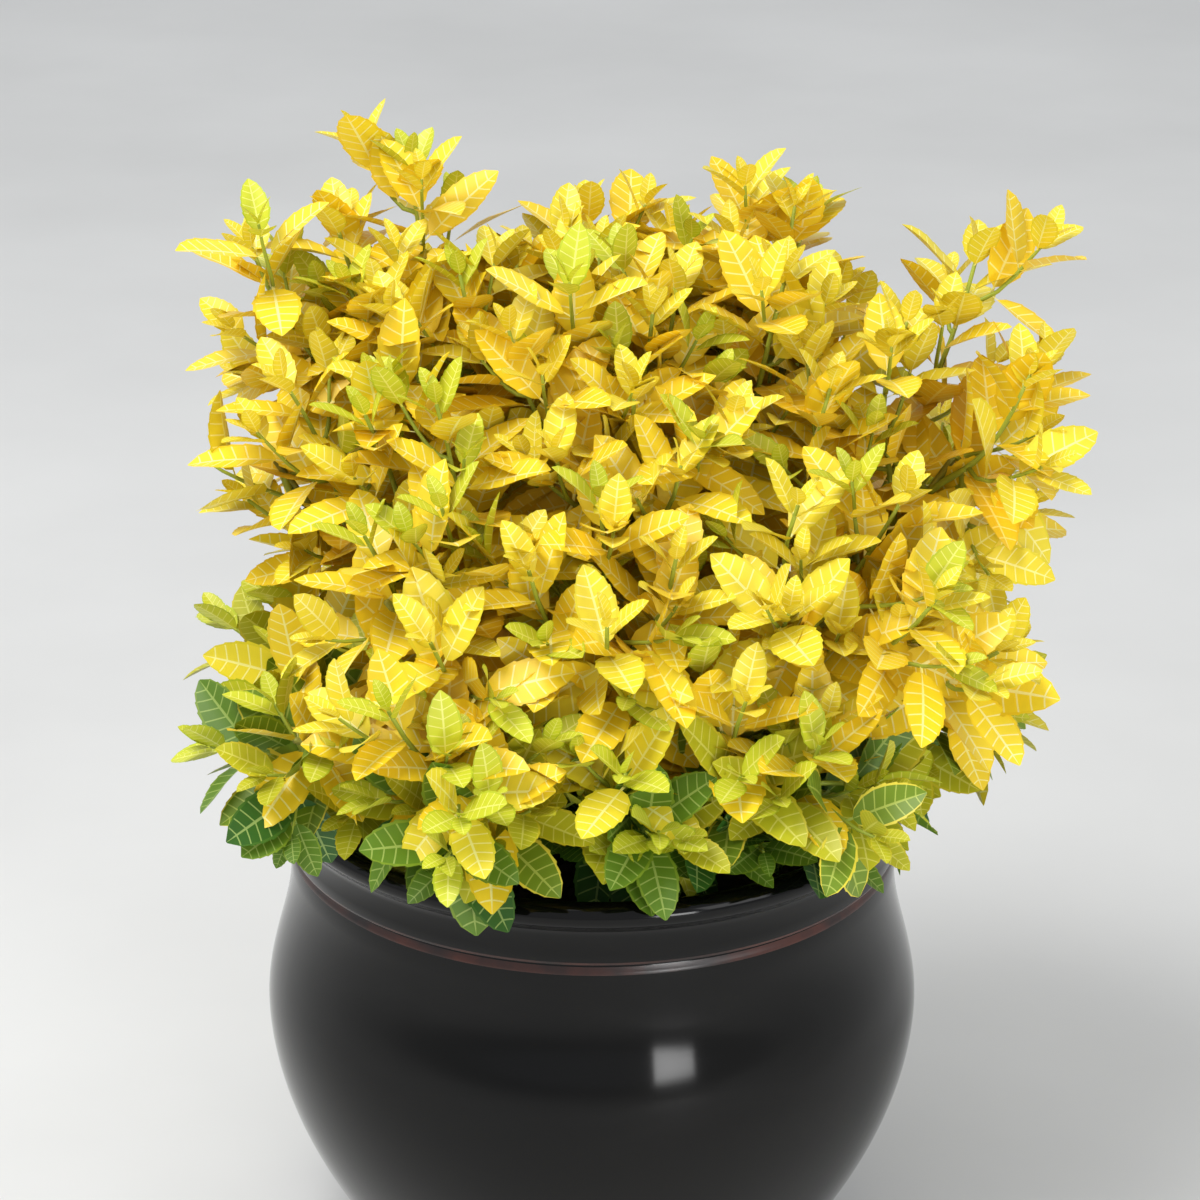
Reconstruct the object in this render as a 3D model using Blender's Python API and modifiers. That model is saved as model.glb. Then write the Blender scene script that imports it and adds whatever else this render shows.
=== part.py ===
"""Potted golden wintercreeper, a bushy evergreen shrub in a round glazed pot.

The origin is the centre of the pot's flat underside. +Z is up, -Y is the front and +X is
the right of the front view. All sizes are in metres. Heights named "over the rim" are
measured from the top of the pot's lip.

The shrub has one short main stem. Boughs leave it on three levels, and each ends where it
enters the space of one mass of foliage. In that space the limb carries on as the mass's
own stem, twigs run from it to the shoot tips, and pairs of leaves stand on the twigs, each
pair a quarter turn from the one below it.
"""

import math
import random

import bmesh
import bpy
import numpy as np
from mathutils import Vector
from mathutils.bvhtree import BVHTree
from mathutils.geometry import interpolate_bezier

MM = 0.001
GAP = 0.3 * MM                 # left between pieces that touch
MERGE = 0.01 * MM              # points closer than this are one point

# The pot
POT_HEIGHT = 195 * MM
RIM_RADIUS = 120 * MM          # outer edge of the lip
LIP_BEAD = 5 * MM              # radius of the rounded lip
NECK_RADIUS = 115 * MM
GROOVE_DEPTH = 25.5 * MM       # from the lip's top down to the groove under the collar
GROOVE_WIDTH = 2.4 * MM
GROOVE_CUT = 1.3 * MM
COLLAR_SWELL = 1.2 * MM        # the collar stands this much out of the neck
LIP_ANGLES = (180, 130, 90, 45, 0, -40)   # round the lip, from its inner to its outer side
NECK_DEPTH = 36 * MM           # the neck is narrowest here
BELLY_RADIUS = 124.8 * MM
BELLY_DEPTH = 93 * MM
FOOT_RADIUS = 81 * MM
FOOT_ROUND = 3 * MM
BELLY_FALL = 1.85              # how full the belly stays before it turns in to the foot
WALL = 8 * MM
FLOOR = 10 * MM
POT_STEPS = 30

# The soil
SOIL_DEPTH = 30 * MM           # from the lip's top down to the soil at the wall
SOIL_CROWN = 4 * MM            # the soil stands this much higher round the stem
SOIL_LEVEL = 30 * MM           # it is level as far out as this
SOIL_SLOPE = 75 * MM           # and has fallen most of the way here

# The main stem
STEM_FOOT = (0.010, -0.006)
STEM_LEAN = (-0.006, 0.004)
STEM_RISE = 46 * MM
STEM_RADII = (13.0 * MM, 9.6 * MM, 8.0 * MM, 7.2 * MM, 6.6 * MM, 6.0 * MM)
STEM_SIDES = 12

# The boughs
BOUGH_LEVELS = {"low": 0.34, "middle": 0.62, "high": 0.86}   # share of the main stem's rise
BOUGH_STAGGER = 0.10           # low boughs take turns a little above and below their level
BOUGH_ROOT = {"low": 2.5 * MM, "middle": 2.9 * MM, "high": 3.0 * MM}
BOUGH_TIP = 2.0 * MM
BOUGH_SEAT = 0.38 * MM         # between a bough's root and the main stem's round
BOUGH_SIDES = 6
BEND_OUT = 0.56                # how far out, and how far up, a limb's bend lies
BEND_UP = 0.30
BOUGH_POINTS = 6

# The crown, as reaches and heights of its shoot tips
CROWN_MIDDLE = (0.008, 0.002)
REACH_LEFT = 130 * MM
REACH_RIGHT = 147 * MM
REACH_FRONT = 118 * MM
REACH_BACK = 126 * MM
PLAN_POWER = 2.7               # over 2, so the plan is a rounded box
TOP_OVER_RIM = 186 * MM
EDGE_DROP = 20 * MM
FRONT_FALL = 88 * MM           # the crown's top falls this much to its front edge
FRONT_FALL_START = 0.030
FRONT_FALL_POWER = 1.3
BACK_FALL = 34 * MM
CAP_SHOOTS = 46
CAP_LEAN = 34.0                # degrees from upright at the crown's edge
FLANKS = (                     # share of the cap's edge height, of the reach, shoots, lean
    (0.70, 1.02, 12, 50.0),
    (0.42, 0.98, 11, 64.0),
    (0.16, 0.80, 8, 76.0),
)
SHOOT_JITTER = 5 * MM
HEIGHT_JITTER = 9 * MM
LANDMARK_ROOM = 27 * MM        # the rule leaves this much room round a named shoot

# Shoots that stand out of the outline: across, back and over the rim, then the lean of
# the shoot, across and back, for each 1 up
NAMED_SHOOTS = (
    (-0.071, 0.078, 0.213, -0.10, 0.05),      # the highest tip, left of the middle
    (-0.098, 0.058, 0.196, -0.25, 0.05),
    (-0.129, 0.050, 0.188, -0.30, 0.10),      # the upper left corner
    (-0.004, 0.093, 0.190, 0.00, 0.15),
    (0.028, 0.082, 0.186, 0.10, 0.10),
    (0.058, 0.092, 0.197, 0.00, 0.15),
    (0.074, 0.072, 0.199, 0.15, 0.10),
    (0.141, 0.045, 0.190, 0.20, 0.10),        # the upper right corner
    (0.157, -0.002, 0.158, 0.35, -0.05),
    (0.150, -0.026, 0.050, 0.90, -0.30),      # the low shoot at the right
    (-0.113, -0.076, 0.058, -0.55, 0.10),     # the bare branch that sprawls to the left
    (-0.070, -0.126, 0.078, -0.35, -0.45),    # the cluster over the rim at the left
    (-0.035, -0.134, 0.050, 0.10, -1.20),
    (0.078, -0.112, 0.060, 0.20, -0.60),      # the cluster over the rim at the right
)

# The masses of foliage: middle across, back and over the rim, and the bough's level
MASSES = {
    "crest_left": (-0.072, 0.062, 0.145, "high"),
    "crest_middle": (0.002, 0.080, 0.148, "high"),
    "crest_right": (0.074, 0.066, 0.147, "high"),
    "outer_left": (-0.118, 0.006, 0.120, "middle"),
    "outer_right": (0.136, 0.010, 0.128, "middle"),
    "centre": (0.006, -0.002, 0.130, "top"),
    "front_left": (-0.074, -0.062, 0.092, "middle"),
    "front_middle": (0.006, -0.080, 0.088, "middle"),
    "front_right": (0.088, -0.060, 0.094, "middle"),
    "low_left": (-0.112, -0.010, 0.050, "low"),
    "low_right": (0.126, -0.028, 0.044, "low"),
    "sprawl_left": (-0.106, -0.080, 0.046, "low"),
    "near_left": (-0.050, -0.116, 0.046, "low"),
    "skirt_front": (0.016, -0.086, 0.022, "low"),
    "near_right": (0.078, -0.098, 0.040, "low"),
    "back_left": (-0.078, 0.094, 0.066, "low"),
    "back_middle": (0.006, 0.116, 0.074, "low"),
    "back_right": (0.096, 0.092, 0.068, "low"),
}
SPACE_MARGIN = 0.4 * MM        # a mass stays this far inside its space
BOUGH_MARGIN = 5 * MM          # a bough ends this far inside it
BOUGH_LEAST = 0.40             # and at least this far along its limb
LIMB_CLEAR = 0.5 * MM          # twigs and leaves pass limbs, pot and soil at this distance

# Twigs and leaves
MASS_STEM_TIP = 1.3 * MM
MASS_STEM_SIDES = 5
MASS_STEM_POINTS = 4
TWIG_ROOT = 1.5 * MM
TWIG_TIP = 0.8 * MM
TWIG_SIDES = 3
TWIG_POINTS = 4
TWIG_RUN = 48 * MM             # the straight end of a shoot, where its leaves stand
TWIG_RUN_TRIES = (1.0, 0.6, 0.25)   # shares of that run, tried in turn
TWIG_LEAVE = 0.3               # how far a twig keeps to the way it leaves its stem
TWIGS_FROM = 0.25              # twigs leave the mass's stem between these shares of it
TWIGS_TO = 0.97
TIP_MARGIN = 3 * MM            # a tip nearer the edge of its space is drawn in
DRAW_IN = 0.04
LEAF_PAIRS = 4
LEAF_SPACING = 18 * MM
LEAF_LENGTH = 42 * MM
LEAF_WIDTH = 0.48              # of the length
LEAF_WIDEST = 0.45             # of the length, from the root
LEAF_THICKNESS = 1.2 * MM      # at its middle
LEAF_FOLD = 0.06               # of the length, that the edges stand over the midrib
LEAF_SINK = 0.35 * MM          # a leaf's root starts this far behind the twig's middle
PAIR_SIZES = (0.6, 0.92, 1.0, 1.0)       # from the tip down
PAIR_SPREADS = (26.0, 50.0, 62.0, 70.0)  # degrees between the leaf and its twig
LEAF_LIGHT_TURN = 0.45         # how much a blade turns to face the sky
FIRST_PAIR = 2.5 * MM          # the first pair's distance from the tip
LEAVES_TO = 0.85               # share of a twig that has leaves, from its tip
TURN_SCATTER = 0.2             # radians
SIZE_SCATTER = (0.9, 1.08)
LEAF_TRIES = (                 # size, degrees nearer the twig, and turn about it
    (1.0, 0.0, 0.0),
    (0.95, 8.0, 0.3),
    (0.95, 8.0, -0.3),
    (0.85, 14.0, 0.55),
    (0.85, 14.0, -0.55),
    (0.7, 20.0, 0.0),
)
SEED = 21


def clear_scene():
    """Remove every object of the scene."""
    for thing in list(bpy.data.objects):
        bpy.data.objects.remove(thing, do_unlink=True)


def new_collection(name):
    """Return a new collection under the scene's own."""
    group = bpy.data.collections.new(name)
    bpy.context.scene.collection.children.link(group)
    return group


def new_material(name, colour, roughness, metallic=0.0):
    """Return a Principled material of one colour."""
    material = bpy.data.materials.new(name)
    material.use_nodes = True
    shader = material.node_tree.nodes["Principled BSDF"]
    shader.inputs["Base Color"].default_value = (*colour, 1.0)
    shader.inputs["Roughness"].default_value = roughness
    shader.inputs["Metallic"].default_value = metallic
    return material


def new_object(name, mesh, group, material):
    """Return a new object of the mesh, in the group, with the material."""
    thing = bpy.data.objects.new(name, mesh)
    group.objects.link(thing)
    mesh.materials.append(material)
    return thing


def evaluated_mesh(thing):
    """Return a mesh of the object as it looks with its modifiers or bevel."""
    bpy.context.view_layer.update()
    graph = bpy.context.evaluated_depsgraph_get()
    return bpy.data.meshes.new_from_object(thing.evaluated_get(graph))


def smooth(mesh, degrees):
    """Shade the mesh smooth, but for edges sharper than the angle."""
    mesh.shade_smooth()
    mesh.set_sharp_from_angle(angle=math.radians(degrees))


# The pot and the soil in it


def belly_radius(depth):
    """Return the pot's outer radius at a depth under the lip, from the neck down."""
    if depth < BELLY_DEPTH:
        way = (depth - NECK_DEPTH) / (BELLY_DEPTH - NECK_DEPTH)
        ease = 0.5 - 0.5 * math.cos(math.pi * min(max(way, 0.0), 1.0))
        return NECK_RADIUS + (BELLY_RADIUS - NECK_RADIUS) * ease
    way = (depth - BELLY_DEPTH) / (POT_HEIGHT - BELLY_DEPTH)
    return BELLY_RADIUS - (BELLY_RADIUS - FOOT_RADIUS) * way ** BELLY_FALL


def inner_wall():
    """Return the points of the inner wall, radius and height, from the floor up."""
    depths = np.linspace(POT_HEIGHT - FLOOR, SOIL_DEPTH, 7)
    return [(belly_radius(depth) - WALL, POT_HEIGHT - depth) for depth in depths]


def pot_profile():
    """Return the pot's profile: floor, inner wall, lip, then down the outer side."""
    points = [(0.0, FLOOR)]
    points += inner_wall()
    for degrees in LIP_ANGLES:
        angle = math.radians(degrees)
        across = RIM_RADIUS - LIP_BEAD + LIP_BEAD * math.cos(angle)
        points.append((across, POT_HEIGHT - LIP_BEAD + LIP_BEAD * math.sin(angle)))
    groove = POT_HEIGHT - GROOVE_DEPTH
    points.append((NECK_RADIUS + COLLAR_SWELL, groove + 0.5 * (GROOVE_DEPTH - LIP_BEAD)))
    points.append((NECK_RADIUS + COLLAR_SWELL, groove + GROOVE_WIDTH))
    points.append((NECK_RADIUS - GROOVE_CUT, groove))
    points.append((NECK_RADIUS, groove - GROOVE_WIDTH))
    for depth in np.linspace(NECK_DEPTH + 10 * MM, BELLY_DEPTH, 4):
        points.append((belly_radius(depth), POT_HEIGHT - depth))
    for depth in np.linspace(BELLY_DEPTH, POT_HEIGHT - FOOT_ROUND, 6)[1:]:
        points.append((belly_radius(depth), POT_HEIGHT - depth))
    points.append((FOOT_RADIUS - FOOT_ROUND, 0.0))
    points.append((0.0, 0.0))
    return points


def soil_profile():
    """Return the soil's profile: from the middle of its top, down its side, to the floor."""
    top = POT_HEIGHT - SOIL_DEPTH
    wall = [(across - GAP, height) for across, height in reversed(inner_wall())]
    wall[0] = (wall[0][0], top - GAP)
    wall[-1] = (wall[-1][0], FLOOR + GAP)
    crown = [(0.0, top + SOIL_CROWN), (SOIL_LEVEL, top + SOIL_CROWN)]
    crown.append((SOIL_SLOPE, top + 0.4 * SOIL_CROWN))
    return crown + wall + [(0.0, FLOOR + GAP)]


def turned(name, profile, group, material):
    """Return an object that is the profile, radius and height, turned round the Z axis."""
    mesh = bpy.data.meshes.new(name)
    vertices = [(across, 0.0, height) for across, height in profile]
    edges = [(index, index + 1) for index in range(len(profile) - 1)]
    mesh.from_pydata(vertices, edges, [])
    thing = new_object(name, mesh, group, material)
    screw = thing.modifiers.new("Turn", "SCREW")
    screw.steps = POT_STEPS
    screw.render_steps = POT_STEPS
    screw.use_merge_vertices = True
    screw.merge_threshold = MERGE
    thing.data = evaluated_mesh(thing)
    thing.modifiers.clear()
    smooth(thing.data, 35.0)
    return thing


# Limbs


def section_curve(sides, group):
    """Return a flat closed curve, a regular polygon of radius 1, that limbs are swept with."""
    data = bpy.data.curves.new(f"section_{sides}", "CURVE")
    spline = data.splines.new("POLY")
    spline.points.add(sides - 1)
    for index, point in enumerate(spline.points):
        angle = 2.0 * math.pi * index / sides
        point.co = (math.cos(angle), math.sin(angle), 0.0, 1.0)
    spline.use_cyclic_u = True
    thing = bpy.data.objects.new(data.name, data)
    thing.hide_render = True
    thing.display_type = "WIRE"
    group.objects.link(thing)
    return thing


def limb_mesh(name, points, radii, section):
    """Return a closed mesh of a tapering limb along the points, with the section's sides."""
    data = bpy.data.curves.new(name, "CURVE")
    data.dimensions = "3D"
    data.bevel_mode = "OBJECT"
    data.bevel_object = section
    data.use_fill_caps = True
    spline = data.splines.new("POLY")
    spline.points.add(len(points) - 1)
    for point, place, radius in zip(spline.points, points, radii):
        point.co = (*place, 1.0)
        point.radius = radius
    thing = bpy.data.objects.new(name, data)
    bpy.context.scene.collection.objects.link(thing)
    mesh = evaluated_mesh(thing)
    bpy.data.objects.remove(thing)
    bpy.data.curves.remove(data)
    work = bmesh.new()
    work.from_mesh(mesh)
    bmesh.ops.remove_doubles(work, verts=work.verts, dist=MERGE)
    bmesh.ops.recalc_face_normals(work, faces=work.faces)
    work.to_mesh(mesh)
    work.free()
    return mesh


def bend(start, middle, end, share):
    """Return the point of a limb that leaves start towards middle and arrives at end."""
    back = (1.0 - share) ** 2
    turn = 2.0 * (1.0 - share) * share
    return start * back + middle * turn + end * share ** 2


def main_stem_point(share):
    """Return the middle of the main stem at a share of its rise."""
    foot = Vector((*STEM_FOOT, POT_HEIGHT - SOIL_DEPTH + SOIL_CROWN + GAP))
    lean = Vector((*STEM_LEAN, 0.0)) * share ** 2
    return foot + lean + Vector((0.0, 0.0, STEM_RISE)) * share


def main_stem_radius(share):
    """Return the main stem's radius at a share of its rise, from the flare up."""
    stations = np.linspace(0.0, 1.0, len(STEM_RADII))
    return float(np.interp(share, stations, STEM_RADII))


# Spaces of the masses


def over_rim(across, back, height):
    """Return the point at a height over the pot's rim."""
    return Vector((across, back, POT_HEIGHT + height))


def mass_middle(name):
    """Return the middle of a mass."""
    across, back, height, _ = MASSES[name]
    return over_rim(across, back, height)


def room(name, point):
    """Return how far inside the mass's space the point is, below 0 if it is outside.

    The space is every point that is nearer to the mass's middle than to any other one.
    """
    own = mass_middle(name)
    least = math.inf
    for other in MASSES:
        if other == name:
            continue
        away = mass_middle(other)
        apart = (point - away).length_squared - (point - own).length_squared
        least = min(least, apart / (2.0 * (away - own).length))
    return least


def limb_route(name, order):
    """Return the start, bend and end of the limb that leads to a mass's middle."""
    end = mass_middle(name)
    level = MASSES[name][3]
    if level == "top":
        start = main_stem_point(1.0)
        start.z += GAP
        return start, start.lerp(end, 0.5), end
    share = BOUGH_LEVELS[level]
    if level == "low":
        share += BOUGH_STAGGER * (1 if order % 2 else -1)
    middle = main_stem_point(share)
    outward = Vector((end.x - middle.x, end.y - middle.y, 0.0))
    rise = (end.z - middle.z) * BEND_UP
    turn = middle + outward * BEND_OUT
    turn.z += rise
    outward.normalize()
    slope = rise / (turn - middle - outward * main_stem_radius(share)).length
    away = main_stem_radius(share) + BOUGH_SEAT + BOUGH_ROOT[level] * slope
    return middle + outward * away, turn, end


def bough_end(name, route):
    """Return the share of the limb's route at which its bough ends."""
    share = 1.0
    while share > BOUGH_LEAST and room(name, bend(*route, share)) > BOUGH_MARGIN:
        share -= 0.01
    return share


# Shoots of the crown


def reach(angle):
    """Return how far the crown's tips reach from its middle in a direction of the plan."""
    across = math.cos(angle)
    back = math.sin(angle)
    side = REACH_RIGHT if across > 0 else REACH_LEFT
    depth = REACH_BACK if back > 0 else REACH_FRONT
    total = abs(across / side) ** PLAN_POWER + abs(back / depth) ** PLAN_POWER
    return total ** (-1.0 / PLAN_POWER)


def cap_height(back, share):
    """Return the height over the rim of tips on the crown's top, at a share of its reach."""
    height = TOP_OVER_RIM - EDGE_DROP * share ** 2
    ahead = max(0.0, (FRONT_FALL_START - back) / (FRONT_FALL_START + REACH_FRONT))
    behind = max(0.0, (back - FRONT_FALL_START) / (REACH_BACK - FRONT_FALL_START))
    return height - FRONT_FALL * ahead ** FRONT_FALL_POWER - BACK_FALL * behind ** 2


def leaning(angle, degrees):
    """Return the unit vector that leans from upright towards a direction of the plan."""
    lean = math.radians(degrees)
    return Vector((
        math.sin(lean) * math.cos(angle),
        math.sin(lean) * math.sin(angle),
        math.cos(lean),
    ))


def ruled_shoots(dice):
    """Return tips and headings of the shoots that fill the crown by the golden angle."""
    golden = math.pi * (3.0 - math.sqrt(5.0))
    shoots = []
    for index in range(CAP_SHOOTS):
        share = math.sqrt((index + 0.5) / CAP_SHOOTS)
        angle = index * golden
        away = reach(angle) * share
        back = CROWN_MIDDLE[1] + away * math.sin(angle)
        height = cap_height(back, share)
        tip = over_rim(CROWN_MIDDLE[0] + away * math.cos(angle), back, height)
        shoots.append((tip, leaning(angle, CAP_LEAN * share)))
    for level, (height_share, reach_share, count, lean) in enumerate(FLANKS):
        for index in range(count):
            angle = 2.0 * math.pi * (index + 0.5 * level) / count
            away = reach(angle) * reach_share
            back = CROWN_MIDDLE[1] + away * math.sin(angle)
            height = cap_height(back, 1.0) * height_share
            tip = over_rim(CROWN_MIDDLE[0] + away * math.cos(angle), back, height)
            shoots.append((tip, leaning(angle, lean)))
    for tip, _ in shoots:
        shift = Vector((dice.uniform(-1, 1), dice.uniform(-1, 1), 0.0)) * SHOOT_JITTER
        shift.z = dice.uniform(-1, 1) * HEIGHT_JITTER
        tip += shift
    return shoots


def crown_shoots(dice):
    """Return all shoots: the named ones, and those of the rule that leave them room."""
    shoots = []
    for across, back, height, lean_across, lean_back in NAMED_SHOOTS:
        heading = Vector((lean_across, lean_back, 1.0)).normalized()
        shoots.append((over_rim(across, back, height), heading))
    named = [tip for tip, _ in shoots]
    for tip, heading in ruled_shoots(dice):
        if min((tip - other).length for other in named) > LANDMARK_ROOM:
            shoots.append((tip, heading))
    return shoots


def shoots_by_mass(shoots):
    """Return the shoots of each mass, the ones whose tips lie in its space."""
    sorted_shoots = {name: [] for name in MASSES}
    for tip, heading in shoots:
        name = min(MASSES, key=lambda each: (mass_middle(each) - tip).length)
        sorted_shoots[name].append((tip, heading))
    return sorted_shoots


# Masses of foliage


def tree_of(meshes, clearance):
    """Return a tree for touch tests against the meshes, grown outwards by the clearance."""
    vertices = []
    faces = []
    for mesh in meshes:
        first = len(vertices)
        vertices += [vertex.co + vertex.normal * clearance for vertex in mesh.vertices]
        faces += [[first + index for index in face.vertices] for face in mesh.polygons]
    return BVHTree.FromPolygons(vertices, faces)


def own_tree(mesh):
    """Return a tree for touch tests of the mesh itself."""
    places = [vertex.co for vertex in mesh.vertices]
    return BVHTree.FromPolygons(places, [face.vertices for face in mesh.polygons])


def fits(name, mesh, obstacles):
    """Return whether the mesh lies in the mass's space and touches none of the obstacles."""
    if min(room(name, vertex.co) for vertex in mesh.vertices) < SPACE_MARGIN:
        return False
    tree = own_tree(mesh)
    return not any(tree.overlap(obstacle) for obstacle in obstacles)


def leaf_mesh(root, along, up, length):
    """Return a leaf: an octahedron drawn out to its root and tip, its edges lifted."""
    side = along.cross(up)
    work = bmesh.new()
    bmesh.ops.create_uvsphere(work, u_segments=4, v_segments=2, radius=1.0)
    for vertex in work.verts:
        across, ahead, over = vertex.co
        reach_out = LEAF_WIDEST + ahead * (1.0 - LEAF_WIDEST if ahead > 0 else LEAF_WIDEST)
        place = along * (reach_out * length)
        place += side * (across * 0.5 * LEAF_WIDTH * length)
        place += up * (over * 0.5 * LEAF_THICKNESS + abs(across) * LEAF_FOLD * length)
        vertex.co = root - along * LEAF_SINK + place
    mesh = bpy.data.meshes.new("leaf")
    work.to_mesh(mesh)
    work.free()
    return mesh


def twig_points(start, heading_out, tip, heading, run):
    """Return the points of a twig that leaves the mass's stem and ends in a straight shoot."""
    control_out = start + heading_out * (TWIG_LEAVE * (tip - start).length)
    control_in = tip - heading * run
    return interpolate_bezier(start, control_out, control_in, tip, TWIG_POINTS)


def point_back(points, distance):
    """Return the point, and the heading, at a distance back from the twig's tip."""
    for index in range(len(points) - 1, 0, -1):
        step = points[index] - points[index - 1]
        if distance <= step.length or index == 1:
            return points[index] - step.normalized() * distance, step.normalized()
        distance -= step.length


def add_leaves(name, points, obstacles, dice):
    """Return the leaf meshes that fit on a twig: opposite pairs, each a quarter turn on.

    Each leaf that is placed becomes an obstacle for those of the later pairs.
    """
    leaves = []
    quarter = dice.uniform(0.0, math.pi)
    length_along = sum((b - a).length for a, b in zip(points, points[1:]))
    for pair in range(LEAF_PAIRS):
        distance = LEAF_SPACING * pair + FIRST_PAIR
        if distance > LEAVES_TO * length_along:
            break
        node, heading = point_back(points, distance)
        flat = heading.orthogonal().normalized()
        other = heading.cross(flat)
        turn = quarter + 0.5 * math.pi * pair + dice.uniform(-TURN_SCATTER, TURN_SCATTER)
        size = LEAF_LENGTH * PAIR_SIZES[pair] * dice.uniform(*SIZE_SCATTER)
        placed = []
        for half_turn in (0.0, math.pi):
            for shrink, nearer, twist in LEAF_TRIES:
                angle = turn + half_turn + twist
                outward = flat * math.cos(angle) + other * math.sin(angle)
                spread = math.radians(PAIR_SPREADS[pair] - nearer)
                along = heading * math.cos(spread) + outward * math.sin(spread)
                up = heading + Vector((0.0, 0.0, LEAF_LIGHT_TURN))
                up = (up - along * up.dot(along)).normalized()
                mesh = leaf_mesh(node, along, up, size * shrink)
                if fits(name, mesh, obstacles):
                    placed.append(mesh)
                    break
                bpy.data.meshes.remove(mesh)
        obstacles.extend(own_tree(mesh) for mesh in placed)
        leaves += placed
    return leaves


def keep_one_body(mesh):
    """Keep only the largest closed skin: loose scraps drop and sealed hollows fill."""
    work = bmesh.new()
    work.from_mesh(mesh)
    left = set(work.faces)
    skins = []
    while left:
        skin = set()
        edge_of_skin = [left.pop()]
        while edge_of_skin:
            face = edge_of_skin.pop()
            skin.add(face)
            for edge in face.edges:
                for near in edge.link_faces:
                    if near in left:
                        left.remove(near)
                        edge_of_skin.append(near)
        skins.append(skin)
    skins.sort(key=len)
    dropped = [face for skin in skins[:-1] for face in skin]
    bmesh.ops.delete(work, geom=dropped, context="FACES")
    bmesh.ops.triangulate(work, faces=work.faces)
    work.to_mesh(mesh)
    work.free()


def mass_of_foliage(name, route, bough_share, shoots, obstacles, sections, group, material):
    """Return a mass: its stem, its twigs and their leaves, joined into one solid."""
    dice = random.Random(f"{SEED} {name}")
    speed = (bend(*route, bough_share + MM) - bend(*route, bough_share)).length / MM
    first = bough_share + GAP / speed
    shares = np.linspace(first, 1.0, MASS_STEM_POINTS)
    points = [bend(*route, share) for share in shares]
    radii = np.linspace(BOUGH_TIP, MASS_STEM_TIP, len(points))
    mass = new_object(
        f"foliage_{name}", limb_mesh("stem", points, radii, sections["mass"]), group, material
    )
    joined = new_collection(f"joined_{name}")
    middle = mass_middle(name)
    shoots = sorted(shoots, key=lambda shoot: -(shoot[0] - middle).length)
    ways = []
    for index, (tip, heading) in enumerate(shoots):
        along = TWIGS_FROM + (TWIGS_TO - TWIGS_FROM) * index / max(1, len(shoots) - 1)
        share = first + (1.0 - first) * along
        start = bend(*route, share)
        heading_out = (bend(*route, min(1.0, share + 0.02)) - bend(*route, share - 0.02))
        heading_out = (heading_out.normalized() + (tip - start).normalized()).normalized()
        drawn_in = tip
        while room(name, drawn_in) < TIP_MARGIN:
            drawn_in = drawn_in.lerp(middle, DRAW_IN)
        for run_share in TWIG_RUN_TRIES:
            run = TWIG_RUN * run_share
            way = twig_points(start, heading_out, drawn_in, heading, run)
            radii = np.linspace(TWIG_ROOT, TWIG_TIP, len(way))
            twig = limb_mesh("twig", way, radii, sections["twig"])
            if fits(name, twig, [obstacles]):
                ways.append((way, twig))
                break
            bpy.data.meshes.remove(twig)
    trees = [own_tree(twig) for _, twig in ways]
    leaf_trees = [obstacles, own_tree(mass.data)]
    for index, (way, twig) in enumerate(ways):
        new_object("growth", twig, joined, material)
        others = trees[:index] + trees[index + 1:]
        known = others + leaf_trees
        before = len(known)
        for mesh in add_leaves(name, way, known, dice):
            new_object("growth", mesh, joined, material)
        leaf_trees += known[before:]
    union = mass.modifiers.new("Join", "BOOLEAN")
    union.operation = "UNION"
    union.operand_type = "COLLECTION"
    union.collection = joined
    union.solver = "MANIFOLD"
    mass.data = evaluated_mesh(mass)
    mass.modifiers.clear()
    for thing in list(joined.objects):
        bpy.data.objects.remove(thing, do_unlink=True)
    bpy.data.collections.remove(joined)
    keep_one_body(mass.data)
    return mass


def main():
    """Build the pot, the soil, the main stem, the boughs and the masses of foliage."""
    clear_scene()
    group = new_collection("potted_wintercreeper")
    guides = new_collection("guides")
    glaze = new_material("pot_glaze", (0.012, 0.011, 0.010), 0.12)
    earth = new_material("soil", (0.045, 0.028, 0.018), 0.95)
    bark = new_material("stem_bark", (0.21, 0.16, 0.09), 0.8)
    green_bark = new_material("bough_bark", (0.33, 0.38, 0.10), 0.6)
    golden = new_material("golden_leaf", (0.78, 0.60, 0.05), 0.5)
    sections = {
        "stem": section_curve(STEM_SIDES, guides),
        "bough": section_curve(BOUGH_SIDES, guides),
        "mass": section_curve(MASS_STEM_SIDES, guides),
        "twig": section_curve(TWIG_SIDES, guides),
    }
    pot = turned("pot", pot_profile(), group, glaze)
    soil = turned("soil", soil_profile(), group, earth)
    shares = np.linspace(0.0, 1.0, len(STEM_RADII))
    stem_points = [main_stem_point(share) for share in shares]
    stem_mesh = limb_mesh("main_stem", stem_points, STEM_RADII, sections["stem"])
    for vertex in stem_mesh.vertices:
        if vertex.co.z < stem_points[0].z + MM:
            vertex.co.z = stem_points[0].z
    stem = new_object("main_stem", stem_mesh, group, bark)
    smooth(stem.data, 50.0)
    routes = {}
    limbs = [stem.data]
    for order, name in enumerate(MASSES):
        route = limb_route(name, order)
        share = 0.0
        if MASSES[name][3] != "top":
            share = bough_end(name, route)
            points = [bend(*route, each) for each in np.linspace(0.0, share, BOUGH_POINTS)]
            radii = np.linspace(BOUGH_ROOT[MASSES[name][3]], BOUGH_TIP, BOUGH_POINTS)
            mesh = limb_mesh(f"bough_{name}", points, radii, sections["bough"])
            bough = new_object(f"bough_{name}", mesh, group, green_bark)
            smooth(bough.data, 65.0)
            limbs.append(bough.data)
        routes[name] = (route, share)
    vessel = [pot.data, soil.data]
    shoots = shoots_by_mass(crown_shoots(random.Random(SEED)))
    for name, (route, share) in routes.items():
        obstacles = tree_of(limbs + vessel, LIMB_CLEAR)
        mass_of_foliage(
            name, route, share, shoots[name], obstacles, sections, group, golden
        )


main()
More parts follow.
